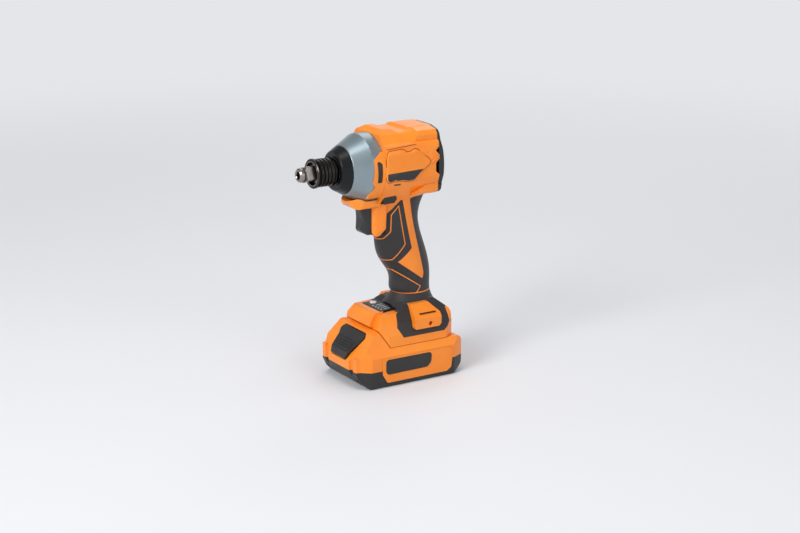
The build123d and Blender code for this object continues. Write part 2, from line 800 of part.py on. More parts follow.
def gear_outline(teeth, root, tip, slack, turn):
    """Corners of a spur gear about the origin, tooth by tooth."""
    pitch_radius = gear_module * teeth / 2
    base_radius = pitch_radius * cos(pressure_angle)
    flank_start = max(root, base_radius)
    radii = [root] + [flank_start + (tip - flank_start) * step / 4 for step in range(5)]
    halves = []
    for radius in radii:
        roll = acos(min(1.0, base_radius / max(radius, base_radius)))
        halves.append(pi / (2 * teeth) - slack / pitch_radius + involute(pressure_angle) - involute(roll))
    corners = []
    for tooth in range(teeth):
        middle = turn + 2 * pi * tooth / teeth
        rising = [(radius, middle - half) for radius, half in zip(radii, halves)]
        falling = [(radius, middle + half) for radius, half in zip(reversed(radii), reversed(halves))]
        for radius, angle in (rising[1:] if root >= base_radius else rising) + (
            falling[:-1] if root >= base_radius else falling
        ):
            corners.append((radius * cos(angle), radius * sin(angle)))
    return corners


def gear(teeth, middle, turn, bore):
    """Spur gear on the gear stage's stations, with a round bore."""
    pitch_radius = gear_module * teeth / 2
    corners = gear_outline(teeth, pitch_radius - 1.15 * gear_module, pitch_radius + 0.9 * gear_module,
                           tooth_slack, turn)
    with BuildPart() as wheel:
        with BuildSketch(Plane.YZ.offset(gear_rear)):
            with BuildLine():
                Polyline(*[(middle[0] + y, middle[1] + z) for y, z in corners], close=True)
            make_face()
            with Locations(middle):
                Circle(bore, mode=Mode.SUBTRACT)
        extrude(amount=gear_length)
    return wheel.part


orbit = gear_module * (sun_teeth + planet_teeth) / 2
planet_spots = [
    (orbit * cos(2 * pi * i / planet_count), spindle_height + orbit * sin(2 * pi * i / planet_count))
    for i in range(planet_count)
]
finish(gear(sun_teeth, (0, spindle_height), 0, pinion_seat_radius), "pinion")
for i, spot in enumerate(planet_spots):
    turn = 2 * pi * i / planet_count + pi / planet_teeth
    finish(gear(planet_teeth, spot, turn, planet_pin_radius + running_fit), f"planet_gear_{i + 1}")

ring_pitch_radius = gear_module * ring_teeth / 2
with BuildPart() as ring_gear:
    with BuildSketch(Plane.YZ.offset(plate_front)):
        with Locations((0, spindle_height)):
            Circle(ring_outer_radius - seat_gap)
        with BuildLine():
            Polyline(
                *[(y, spindle_height + z) for y, z in gear_outline(
                    ring_teeth, ring_pitch_radius - 0.9 * gear_module, ring_pitch_radius + 1.15 * gear_module,
                    -tooth_slack, pi / ring_teeth)],
                close=True,
            )
        make_face(mode=Mode.SUBTRACT)
    extrude(amount=gear_front - plate_front)
finish(ring_gear.part, "ring_gear")

with BuildPart() as gear_plate:
    turned([
        (front_bearing_rear - 0.2, motor_bearing_radius + seat_gap),
        (front_bearing_rear + motor_bearing_width + 0.1, motor_bearing_radius + seat_gap),
        (front_bearing_rear + motor_bearing_width + 0.1, shaft_radius + 1.0), (plate_front,
                                                                               shaft_radius + 1.0),
        (plate_front, plate_radius - seat_gap), (case_rear, plate_radius - seat_gap),
        (case_rear, motor_bearing_radius + 2.6), (front_bearing_rear - 0.2, motor_bearing_radius + 2.6),
    ])
finish(gear_plate.part, "gear_plate")

with BuildPart() as planet_pins:
    for y, z in planet_spots:
        rod((gear_rear, y, z), (1, 0, 0), planet_pin_radius, carrier_front - gear_rear)
finish(planet_pins.part, "planet_pins")

# Spindle with its carrier disc, and the hammer that two balls guide on it
cam_ball_x = hammer_front - 7.0
with BuildPart() as cam_balls:
    for side in (-1, 1):
        with Locations((cam_ball_x, side * spindle_radius, spindle_height)):
            Sphere(cam_ball_radius)
finish(cam_balls.part, "cam_balls")

with BuildPart() as spindle:
    turned([
        (carrier_rear, 0), (carrier_rear, carrier_radius, 0.4), (carrier_front, carrier_radius, 0.4),
        (carrier_front, spindle_radius), (spindle_end, spindle_radius, 0.6), (spindle_end, spigot_radius),
        (spindle_end + spigot_length, spigot_radius, 0.4), (spindle_end + spigot_length, 0),
    ])
    for y, z in planet_spots:
        rod((carrier_rear - 1, y, z), (1, 0, 0), planet_pin_radius, carrier_thickness + 2, mode=Mode.SUBTRACT)
    for side in (-1, 1):
        with Locations((cam_ball_x, side * spindle_radius, spindle_height)):
            Sphere(cam_ball_radius + seat_gap, mode=Mode.SUBTRACT)
finish(spindle.part, "spindle")

with BuildPart() as spindle_bearing:
    tube(carrier_rear + 0.1, carrier_front - 0.1, carrier_radius + running_fit, hammer_bay_radius - seat_gap)
finish(spindle_bearing.part, "spindle_bearing")

spring_seat = hammer_rear + 9.0
with BuildPart() as hammer:
    tube(hammer_rear, hammer_front, spindle_radius + running_fit, hammer_radius)
    tube(hammer_rear - 1, spring_seat, hammer_coil_radius - hammer_wire / 2 - 1.4,
         hammer_coil_radius + hammer_wire / 2 + 1.4, mode=Mode.SUBTRACT)
    for side in (-1, 1):
        with Locations((hammer_front + jaw_height / 2, 0, spindle_height + side * 14.3)):
            Box(jaw_height, 13.0, 10.0)
        rod((cam_ball_x, side * (spindle_radius - 2), spindle_height), (0, side, 0),
            cam_ball_radius + seat_gap,
            cam_ball_radius + 2.1, mode=Mode.SUBTRACT)
finish(hammer.part, "hammer")

hammer_spring_length = spring_seat - carrier_front - hammer_wire - 0.2
finish(
    spring((carrier_front + hammer_wire / 2 + 0.1, 0, spindle_height), (1, 0, 0), hammer_coil_radius,
           hammer_wire,
           hammer_spring_length, 3),
    "hammer_spring",
)

# Anvil: wings behind, round journal, square drive with a hex socket through its tip
wing_rear = hammer_front + moving_gap
wing_front = wing_rear + wing_thickness
groove_rear = square_front + 0.4
with BuildPart() as anvil:
    tube(wing_rear, square_rear, 0, anvil_radius)
    for side in (-1, 1):
        with Locations((wing_rear + wing_thickness / 2, side * wing_radius / 2, spindle_height)):
            Box(wing_thickness, wing_radius, 11.0)
    with BuildSketch(Plane.YZ.offset(square_rear)) as drive:
        with Locations((0, spindle_height)):
            Rectangle(square_size, square_size, rotation=square_turn)
    extrude(drive.sketch, amount=square_front - square_rear)
    turned([
        (wing_rear - 1, 0), (wing_rear - 1, wing_radius), (wing_front + 1, wing_radius), (wing_front + 1,
                                                                                          anvil_radius),
        (square_front - 0.8, anvil_radius), (square_front + 0.2, tip_radius + 1.0), (square_front + 0.2, 0),
    ], mode=Mode.INTERSECT)
    turned([
        (square_front - 0.2, 0), (square_front - 0.2, tip_radius), (groove_rear, tip_radius),
        (groove_rear, ring_groove_radius), (groove_rear + ring_groove_width, ring_groove_radius),
        (groove_rear + ring_groove_width, tip_radius, 0.4), (anvil_tip - 1.4, tip_radius, 0.5),
        (anvil_tip, tip_radius - 1.5, 0.3), (anvil_tip, 0),
    ])
    tube(wing_rear - 1, spindle_end + spigot_length + 0.5, 0, spigot_radius + running_fit, mode=Mode.SUBTRACT)
    with BuildSketch(Plane.YZ.offset(anvil_tip - hex_socket_depth)) as socket:
        with Locations((0, spindle_height)):
            RegularPolygon(hex_socket_size / 2, 6, major_radius=False)
    extrude(socket.sketch, amount=hex_socket_depth, mode=Mode.SUBTRACT)
    turned([
        (anvil_tip - 0.8, 0), (anvil_tip, 0), (anvil_tip, hex_socket_size / 2 + 1.0), (anvil_tip - 1.2,
        hex_socket_size / 2 - 0.4),
    ], mode=Mode.SUBTRACT)
    for side in (-1, 1):
        rod((sleeve_rear + sleeve_land / 2, 0, spindle_height), (0, 0, side), detent_ball_radius + 0.1,
            anvil_radius + 1, mode=Mode.SUBTRACT)
finish(anvil.part, "anvil")

with BuildPart() as detent_balls:
    for side in (-1, 1):
        with Locations((sleeve_rear + sleeve_land / 2, 0,
                        spindle_height + side * (anvil_radius - detent_ball_radius - 0.1))):
            Sphere(detent_ball_radius)
finish(detent_balls.part, "detent_balls")

with BuildPart() as friction_ring:
    tube(groove_rear + 0.1, groove_rear + ring_groove_width - 0.1, ring_groove_radius, tip_radius + 0.25)
finish(friction_ring.part, "friction_ring")

with BuildPart() as anvil_bush:
    turned([
        (bay_front - 0.8, anvil_radius + running_fit), (nose_end - 0.6, anvil_radius + running_fit),
        (nose_end - 0.6, bush_outer_radius - seat_gap), (bay_front, bush_outer_radius - seat_gap),
        (bay_front, bush_outer_radius + 2.0), (bay_front - 0.8, bush_outer_radius + 2.0),
    ])
finish(anvil_bush.part, "anvil_bush")

# Quick-release sleeve with its rings, spring and stop washer
sleeve_shoulder = sleeve_rear + sleeve_land
sleeve_grooves = 5
groove_pitch = (sleeve_front - sleeve_shoulder - 2.4) / sleeve_grooves
washer_front = square_rear - 0.4
with BuildPart() as chuck_sleeve:
    turned([
        (sleeve_rear, anvil_radius + running_fit), (sleeve_shoulder, anvil_radius + running_fit),
        (sleeve_shoulder, sleeve_chamber_radius), (sleeve_front, sleeve_chamber_radius),
        (sleeve_front, sleeve_rim_radius - 0.8), (sleeve_front - 0.8, sleeve_rim_radius, 0.3),
        (sleeve_front - 3.0, sleeve_rim_radius, 0.3), (sleeve_front - 3.4, sleeve_radius),
        (sleeve_rear + 1.0, sleeve_radius), (sleeve_rear, sleeve_radius - 1.0),
    ])
    for i in range(sleeve_grooves):
        start = sleeve_rear + 2.4 + i * groove_pitch
        tube(start, start + groove_pitch * 0.42, sleeve_radius - 0.7, sleeve_radius + 2, mode=Mode.SUBTRACT)
finish(chuck_sleeve.part, "chuck_sleeve")

with BuildPart() as sleeve_stop:
    tube(washer_front - stop_washer_width, washer_front, anvil_radius, sleeve_chamber_radius - 0.3)
finish(sleeve_stop.part, "sleeve_stop")

sleeve_wire = 0.9
finish(
    spring((sleeve_shoulder + sleeve_wire / 2 + 0.1, 0, spindle_height), (1, 0, 0),
           (anvil_radius + sleeve_chamber_radius) / 2, sleeve_wire,
           washer_front - stop_washer_width - sleeve_shoulder - sleeve_wire - 0.2, 5),
    "sleeve_spring",
)

# Switch, trigger with its plunger and spring, and the lever that passes through above them
with BuildPart() as switch_module:
    block((switch_rear, -switch_half_width, switch_bottom), (switch_front, switch_half_width, switch_top))
    rod((switch_front, 0, plunger_height), (-1, 0, 0), spring_bore_radius, spring_bore_depth,
        mode=Mode.SUBTRACT)
    rod((switch_front, 0, plunger_height), (-1, 0, 0), plunger_radius + 0.35, 17, mode=Mode.SUBTRACT)
finish(switch_module.part, "switch_module")

with BuildPart() as trigger:
    add(crossed(
        both_sides([(trigger_half_width - 1.6, trigger_bottom, 1.5), (trigger_half_width,
                                                                      trigger_bottom + 5.0, 2.0),
                    (trigger_half_width, trigger_top, 1.0)]),
        [(trigger_rear, trigger_bottom + 1.0, 1.0), (trigger_tip - 6.0, trigger_bottom, 3.0),
         (trigger_tip - 0.2, trigger_bottom + 4.6, 3.0), (trigger_tip - 2.6, trigger_bottom + 14.0, 12.0),
         (trigger_tip, trigger_top, 1.0), (trigger_rear, trigger_top)],
        both_sides_plan([(trigger_tip, 3.4, 3.0), (trigger_tip - 4.4, trigger_half_width - 1.0, 4.0),
                         (trigger_tip - 9.0, trigger_half_width), (trigger_rear, trigger_half_width)]),
    ))
    rod((trigger_rear, 0, plunger_height), (-1, 0, 0), plunger_radius, trigger_rear - 9.0)
finish(trigger.part, "trigger")

spring_floor = switch_front - spring_bore_depth
finish(
    spring((spring_floor + trigger_wire / 2 + 0.1, 0, plunger_height), (1, 0, 0), trigger_coil_radius,
           trigger_wire,
           trigger_rear - spring_floor - trigger_wire - 0.2, 6),
    "trigger_spring",
)

with BuildPart() as direction_lever:
    for side in (-1, 1):
        across(lever_view, side * lever_inner, side * lever_reach)
    block((lever_middle_x - 4.0, -lever_inner - 0.5, lever_middle_z - 3.0),
          (lever_middle_x + 5.0, lever_inner + 0.5, lever_middle_z - 0.6))
finish(direction_lever.part, "direction_lever")

with BuildPart() as work_lamp:
    rod(lamp_point - lamp_direction * lamp_length, lamp_direction, lamp_radius, lamp_length)
finish(work_lamp.part, "work_lamp")

# Foot: electronics, terminals above the slide channel, panel with its button, hook blocks
with BuildPart() as control_board:
    block((-30.0, -18.0, 50.0), (10.0, 18.0, 56.0))
finish(control_board.part, "control_board")

blade_rows = [(i - (blade_count - 1) / 2) * blade_spacing for i in range(blade_count)]
with BuildPart() as terminal_block:
    block((foot_rear + 4.1, -16.0, rail_roof - 7.6), (terminal_front, 16.0, rail_roof))
finish(terminal_block.part, "terminal_block")

with BuildPart() as terminal_blades:
    for y in blade_rows:
        block((terminal_front, y - blade_thickness / 2, 39.5), (blade_tip, y + blade_thickness / 2, 44.0))
finish(terminal_blades.part, "terminal_blades")

panel_button_x = 13.6
panel_button_y = -10.6
panel_face = panel_height + 0.8
with BuildPart() as panel_upstand:
    block((panel_rear, -panel_half_width, panel_seat), (panel_rear + 0.8, panel_half_width, foot_top))
    add(foot_outer, mode=Mode.INTERSECT)
with BuildPart() as control_panel:
    upward(both_sides_plan([(panel_front, panel_half_width, 1.5), (panel_rear, panel_half_width, 1.5)]),
           panel_seat, panel_face)
    chamfer(control_panel.edges().group_by(Axis.Z)[-1], 0.5)
    add(panel_upstand.part)
    rod((panel_button_x, panel_button_y, panel_seat - 1), (0, 0, 1), panel_button_radius + 0.3, 10,
        mode=Mode.SUBTRACT)
finish(control_panel.part, "control_panel")

with BuildPart() as panel_button:
    rod((panel_button_x, panel_button_y, panel_seat + panel_button_travel + 0.1), (0, 0, 1),
        panel_button_radius,
        panel_face + 0.9 - panel_seat - panel_button_travel - 0.1)
    fillet(panel_button.edges().group_by(Axis.Z)[-1], 0.5)
finish(panel_button.part, "panel_button")

with BuildPart() as hook_block_left:
    add(crossed(
        [(20.0, 48.6), (hook_half_width, 48.6, 1.0), (hook_half_width, 58.4, 2.0), (25.4, 70.2, 1.0),
         (20.0, 70.2)],
        [(-2.6, 50.6, 1.0), (-4.4, 71.0), (-23.0, 70.5), (-31.4, 61.6, 1.0), (-31.2, 51.2, 1.0),
         (-27.4, 47.4),
         (-5.4, 47.4)],
    ))
    add(foot_outer, mode=Mode.SUBTRACT)
    rod((hook_hole_x, hook_boss_inner, hook_hole_z), (0, 1, 0), hook_boss_radius, 9.5)
    rod((hook_hole_x, hook_half_width, hook_hole_z), (0, -1, 0), hook_hole_radius, hook_hole_depth,
        mode=Mode.SUBTRACT)
    block((-27.6, 31.0, 61.0), (-9.6, 45.0, 62.7), mode=Mode.SUBTRACT)
finish(hook_block_left.part, "hook_block_left")

with BuildPart() as hook_block_right:
    mirror(hook_block_left.part, about=Plane.XZ)
finish(hook_block_right.part, "hook_block_right")

# Battery pack: lower shell, upper shell with its slide tower and hump
pack_plan = both_sides_plan([
    (pack_front, 18.2, 0.6), (pack_front - 2.7, 19.2, 0.6), (pack_front - 2.7, 23.8, 0.6),
    (pack_front - 0.7, 24.8, 0.6),
    (pack_front - 0.7, 30.2, 0.8), (pack_front - 5.1, 31.2, 0.6), (pack_front - 9.1, 35.0, 1.5),
    (pack_front - 13.3, pack_half_width, 3.0), (pack_rear + 12.5, pack_half_width, 5.0), (pack_rear, 32.0,
                                                                                          5.0),
])
sill_ceiling = cell_height + cell_radius + 0.5
room_plan = both_sides_plan([
    (pack_front - 4.6, 17.0), (pack_front - 5.3, 28.4), (pack_front - 11.0, 33.2), (pack_front - 14.6, 35.6),
    (pack_rear + 13.0, 35.6), (pack_rear + 2.6, 30.4),
])
lower_form = crossed(
    both_sides([(pack_half_width - 2.4, 0, 1.5), (pack_half_width, 2.6, 1.5), (pack_half_width, pack_seam)]),
    [(44.7, 0, 4.0), (52.5, 7.0, 4.0), (pack_front, pack_seam), (pack_rear, pack_seam), (-54.5, 8.0, 4.0),
     (-43.0, 0, 4.0)],
    pack_plan,
)
upper_form = crossed(
    both_sides([
        (pack_half_width, pack_seam), (pack_half_width, pack_shoulder, 2.0), (34.9, pack_deck, 2.0),
        (30.0, 50.0, 2.0), (19.0, 52.0),
    ]),
    [(pack_rear, pack_seam), (pack_front, pack_seam), (pack_front + 0.3, 24.0, 1.5), (37.4, 49.2, 2.0),
     (32.6, 51.2, 0.8), (22.8, pack_deck, 0.6), (-51.6, pack_deck, 4.0), (pack_rear, pack_shoulder, 3.0)],
    pack_plan,
)
with BuildPart() as lower_room:
    add(crossed(
        both_sides([(35.6, pack_wall), (35.6, pack_seam)]),
        [(43.6, pack_wall), (50.4, 8.6), (54.2, pack_seam), (-54.2, pack_seam), (-51.8, 9.2),
         (-42.0, pack_wall)],
        room_plan,
    ))
    for x, y in battery_screw_seats:
        rod((x, y, 0), (0, 0, 1), battery_boss_radius, 60, mode=Mode.SUBTRACT)
with BuildPart() as upper_room:
    add(crossed(
        both_sides([(35.6, pack_seam), (35.6, 28.4), (33.0, pack_deck - pack_wall)]),
        [(53.0, pack_seam), (53.0, sill_ceiling), (34.0, sill_ceiling), (34.0, pack_deck - pack_wall),
         (-51.4, pack_deck - pack_wall),
         (-54.4, 28.4), (-54.4, pack_seam)],
        room_plan,
    ))
    for x, y in battery_screw_seats:
        rod((x, y, 0), (0, 0, 1), battery_boss_radius, 60, mode=Mode.SUBTRACT)
    block((-20.0, -20.0, pack_deck - pack_wall), (tower_front - 2.4, 20.0, tower_top - pack_wall))
with BuildPart() as pack_screw_ways:
    for x, y in battery_screw_seats:
        rod((x, y, battery_screw_seat_height), (0, 0, -1), battery_screw_head + 0.3, 20)
        rod((x, y, battery_screw_seat_height), (0, 0, 1), battery_screw_radius + seat_gap,
            battery_screw_length + 0.3)

plate_outline = [
    (33.0, 26.0, 2.0), (33.0, 13.0, 2.0), (28.0, 4.6, 2.0), (-36.0, 4.6, 2.0), (-41.0, 8.0, 2.0), (-43.0,
                                                                                                   26.0, 2.0),
    (-38.0, 28.0, 1.5), (29.0, 28.0, 2.0),
]


def side_plates(inner, outer, grow):
    """Plates of the pack's side outline, one on each side."""
    with BuildSketch(Plane.XZ) as face:
        add(outline(plate_outline, Plane.XY))
        offset(amount=grow)
    with BuildPart() as plates:
        extrude(face.sketch, amount=outer, both=True)
        block((-reach, -inner, -reach), (reach, inner, reach), mode=Mode.SUBTRACT)
    return plates.part


plate_recess = side_plates(pack_half_width - plate_depth, pack_half_width + 5, seat_gap)
finish(side_plates(pack_half_width - plate_depth, pack_half_width + 0.3, 0), "battery_side_plates")

with BuildPart() as battery_lower_shell:
    add(lower_form)
    add(lower_room.part, mode=Mode.SUBTRACT)
    add(pack_screw_ways.part, mode=Mode.SUBTRACT)
    add(plate_recess, mode=Mode.SUBTRACT)
finish(battery_lower_shell.part, "battery_lower_shell")

# Back of the release button's pocket, from its upper edge down to its lower edge
pocket_back = [Vector(32.6, 0, 49.0), Vector(32.6, 0, 44.2), Vector(48.7, 0, 24.0)]
latch_spot = pocket_back[1] + (pocket_back[2] - pocket_back[1]) * 0.41
latch_bore_depth = 4.0
latch_stub_radius = 2.9
button_stand_off = button_travel + moving_gap
button_drop = -release_direction.Z * button_travel
button_shield = [
    (button_top_half_width, 47.6, 2.0), (button_half_width, button_corner_height, 2.0),
    (button_lip_half_width, button_lip_height, 4.0),
]
button_pocket = crossed(
    both_sides([
        (button_top_half_width + moving_gap, 47.6 + moving_gap, 2.0),
        (button_half_width + moving_gap + 0.4, button_corner_height - button_drop / 2, 1.5),
        (button_lip_half_width + moving_gap, button_lip_height - button_drop, 3.0),
        (button_foot_half_width + moving_gap, pocket_back[2].Z, 1.0),
    ]),
    [(32.6, 52.0)] + [(point.X, point.Z) for point in pocket_back[1:]] + [(70.0, pocket_back[2].Z),
                                                                          (70.0, 52.0)],
)
with BuildPart() as posts:
    for side in (-1, 1):
        upward([(44.0, side * 24.8), (pack_front - 0.7, side * 24.8, 0.8), (pack_front - 0.7, side * 30.2,
                                                                            0.8),
                (44.0, side * 31.4)], pack_seam, post_height)
with BuildPart() as battery_upper_shell:
    add(upper_form)
    add(posts.part)
    along(both_sides([(tower_stem, pack_deck - 1), (tower_stem, flange_bottom), (tower_flange, flange_bottom),
                      (tower_flange, tower_top, 1.0)]), tower_rear, tower_front)
    add(upper_room.part, mode=Mode.SUBTRACT)
    add(pack_screw_ways.part, mode=Mode.SUBTRACT)
    add(plate_recess, mode=Mode.SUBTRACT)
    add(button_pocket, mode=Mode.SUBTRACT)
    rod(latch_spot - release_direction * 3, release_direction, latch_coil_radius + 0.8, latch_bore_depth + 3,
        mode=Mode.SUBTRACT)
    for y in blade_rows:
        block((tower_rear - 1, y - blade_thickness / 2 - 0.8, pack_deck - 4),
              (blade_tip + 1, y + blade_thickness / 2 + 0.8, tower_top + 1), mode=Mode.SUBTRACT)
finish(battery_upper_shell.part, "battery_upper_shell")

button_rear = [point - release_direction * button_stand_off for point in pocket_back]
button_bottom = pocket_back[2].Z + 1.4
button_slant = (button_rear[2].X - button_rear[1].X) / (button_rear[1].Z - button_rear[2].Z)
with BuildPart() as release_button:
    add(crossed(
        both_sides(button_shield + [(button_foot_half_width, button_bottom - 1, 1.0)]),
        [
            (button_rear[0].X, 49.0), (39.0, 49.0), (40.2, 47.4), (45.6, 40.2, 3.0),
            (55.8, button_lip_height, 1.2), (58.2, button_bottom, 0.8),
            (button_rear[1].X + (button_rear[1].Z - button_bottom) * button_slant, button_bottom),
            (button_rear[1].X, button_rear[1].Z),
        ],
    ))
    for step in (0.2, 0.4, 0.6, 0.8):
        rod((45.6 + 10.2 * step, -11.0, 40.2 - 8.6 * step), (0, 1, 0), 0.7, 22)
    rod(latch_spot + release_direction * 2, -release_direction, latch_coil_radius + 0.8, button_stand_off + 2,
        mode=Mode.SUBTRACT)
    rod(latch_spot - release_direction * button_stand_off, -release_direction, latch_stub_radius, 3)
finish(release_button.part, "release_button")

finish(
    spring(latch_spot + release_direction * (latch_bore_depth - latch_wire / 2 - 0.1), -release_direction,
           latch_coil_radius, latch_wire, latch_bore_depth + button_stand_off - latch_wire - 0.2, 4),
    "latch_spring",
)

with BuildPart() as battery_screws:
    for x, y in battery_screw_seats:
        screw((x, y, battery_screw_seat_height), (0, 0, 1), battery_screw_length, battery_screw_radius,
              battery_screw_head)
finish(battery_screws.part, "battery_screws")

cell_stations = [(i - (cell_count - 1) / 2) * cell_pitch for i in range(cell_count)]
with BuildPart() as battery_cells:
    for x in cell_stations:
        rod((x, -cell_length / 2, cell_height), (0, 1, 0), cell_radius, cell_length)
finish(battery_cells.part, "battery_cells")

holder_top = 24.1
holder_end = cell_stations[-1] + cell_radius + 0.4
with BuildPart() as cell_holder:
    for side in (-1, 1):
        across([(42.0, pack_wall + seat_gap), (holder_end, 7.2), (holder_end, sill_ceiling - 0.2),
                (33.6, sill_ceiling - 0.2), (33.6, holder_top), (-holder_end, holder_top), (-holder_end, 7.6),
                (-41.0, pack_wall + seat_gap)], side * 22.0, side * 30.0)
    for x in cell_stations:
        rod((x, -cell_length, cell_height), (0, 1, 0), cell_radius + seat_gap, 2 * cell_length,
            mode=Mode.SUBTRACT)
finish(cell_holder.part, "cell_holder")

board_top = holder_top + 1.6
with BuildPart() as battery_board:
    block((-45.0, -26.0, holder_top), (32.0, 26.0, board_top))
finish(battery_board.part, "battery_board")

with BuildPart() as battery_contacts:
    for y in blade_rows:
        for side in (-1, 1):
            block((-33.0, y + side * 0.9 - 0.15, board_top), (blade_tip, y + side * 0.9 + 0.15, 43.4))
        block((-33.0, y - 1.05, board_top), (blade_tip, y + 1.05, board_top + 0.8))
finish(battery_contacts.part, "battery_contacts")
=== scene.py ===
"""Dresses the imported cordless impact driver: finishes, small surface pieces, studio and camera.

Everything is in metres in the part's own frame: +X runs along the spindle towards the bit, +Y is the
tool's left and +Z is up. Sizes below are in millimetres and are multiplied by MM once.
"""

import json
import logging
from dataclasses import dataclass, field
from enum import Enum
from typing import Callable, ClassVar

import bmesh
import bpy
import numpy as np
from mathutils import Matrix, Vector
from mathutils.geometry import delaunay_2d_cdt


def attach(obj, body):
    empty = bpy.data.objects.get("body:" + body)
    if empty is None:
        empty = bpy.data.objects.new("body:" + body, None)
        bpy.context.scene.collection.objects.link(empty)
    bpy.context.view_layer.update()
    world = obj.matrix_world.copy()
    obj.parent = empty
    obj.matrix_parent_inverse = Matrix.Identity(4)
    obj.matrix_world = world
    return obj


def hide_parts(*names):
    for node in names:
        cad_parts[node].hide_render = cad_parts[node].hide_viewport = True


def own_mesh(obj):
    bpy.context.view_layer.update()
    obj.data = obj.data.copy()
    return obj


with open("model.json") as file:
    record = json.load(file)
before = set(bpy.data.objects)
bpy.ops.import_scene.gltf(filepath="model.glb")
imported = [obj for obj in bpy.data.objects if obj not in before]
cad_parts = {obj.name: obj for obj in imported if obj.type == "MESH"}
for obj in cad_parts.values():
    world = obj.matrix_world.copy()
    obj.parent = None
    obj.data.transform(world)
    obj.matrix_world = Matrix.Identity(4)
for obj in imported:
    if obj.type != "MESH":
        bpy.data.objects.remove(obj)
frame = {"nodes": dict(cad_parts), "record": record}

MM = 0.001
SPINDLE_HEIGHT = 197.5
WELD = 0.005
TINY = 1e-9
# The sRGB curve: a straight foot up to the knee, and a power above it
SRGB_FOOT, SRGB_KNEE, SRGB_OFFSET, SRGB_POWER = 12.92, 0.04045, 0.055, 2.4
# Values between which nearly all of a noise texture lies, and how many octaves each noise has
NOISE_LOW, NOISE_HIGH = 0.3, 0.7
CLOUD_DETAIL, GRAIN_DETAIL = 3.0, 2.0
EDGE_SAMPLES = 6
# Largest share of an outline's side that one rounded corner takes
CORNER_SHARE = 0.45
# Filling an outline: triangles inside it only, the distance at which points are one, and the share of
# the net's spacing that stays clear of the outline
INSIDE_ONLY, JOIN, NET_MARGIN = 1, 1e-5, 0.4
log = logging.getLogger("impact_driver")

Triple = tuple[float, float, float]
Outline = list[Triple]
Profile = list[tuple[float, float]]
Faces = list[list[int]]
Surface = Callable[[np.ndarray, np.ndarray], np.ndarray]


class Side(Enum):
    """Side of the tool, as the sign of Y."""

    LEFT = 1
    RIGHT = -1

    @property
    def mark(self) -> str:
        """Ending of the names of the pieces on this side.

        Returns:
            The side's name after an underscore.
        """
        return f"_{self.name.lower()}"


def linear(hex_text: str) -> tuple[float, float, float, float]:
    """Turns an sRGB hex colour into linear light.

    Args:
        hex_text: Colour such as "f08030".

    Returns:
        Red, green, blue and full opacity.
    """
    values = np.array([int(hex_text[i:i + 2], 16) for i in (0, 2, 4)]) / 255
    low = values / SRGB_FOOT
    high = ((values + SRGB_OFFSET) / (1 + SRGB_OFFSET)) ** SRGB_POWER
    return (*np.where(values <= SRGB_KNEE, low, high).tolist(), 1.0)


def add_node(tree: bpy.types.NodeTree, kind: str, settings: dict[str | int, object] | None = None,
             links: dict[str | int, bpy.types.NodeSocket] | None = None,
             **properties: object) -> bpy.types.Node:
    """Adds a node with its settings and links.

    Args:
        tree: Node tree of a material or a world.
        kind: Blender's name of the node type.
        settings: Values of its input sockets.
        links: Output sockets that feed its input sockets.
        properties: Plain properties of the node.

    Returns:
        The new node.
    """
    node = tree.nodes.new(kind)
    for name, value in properties.items():
        setattr(node, name, value)
    for name, value in (settings or {}).items():
        node.inputs[name].default_value = value
    for name, socket in (links or {}).items():
        tree.links.new(socket, node.inputs[name])
    return node


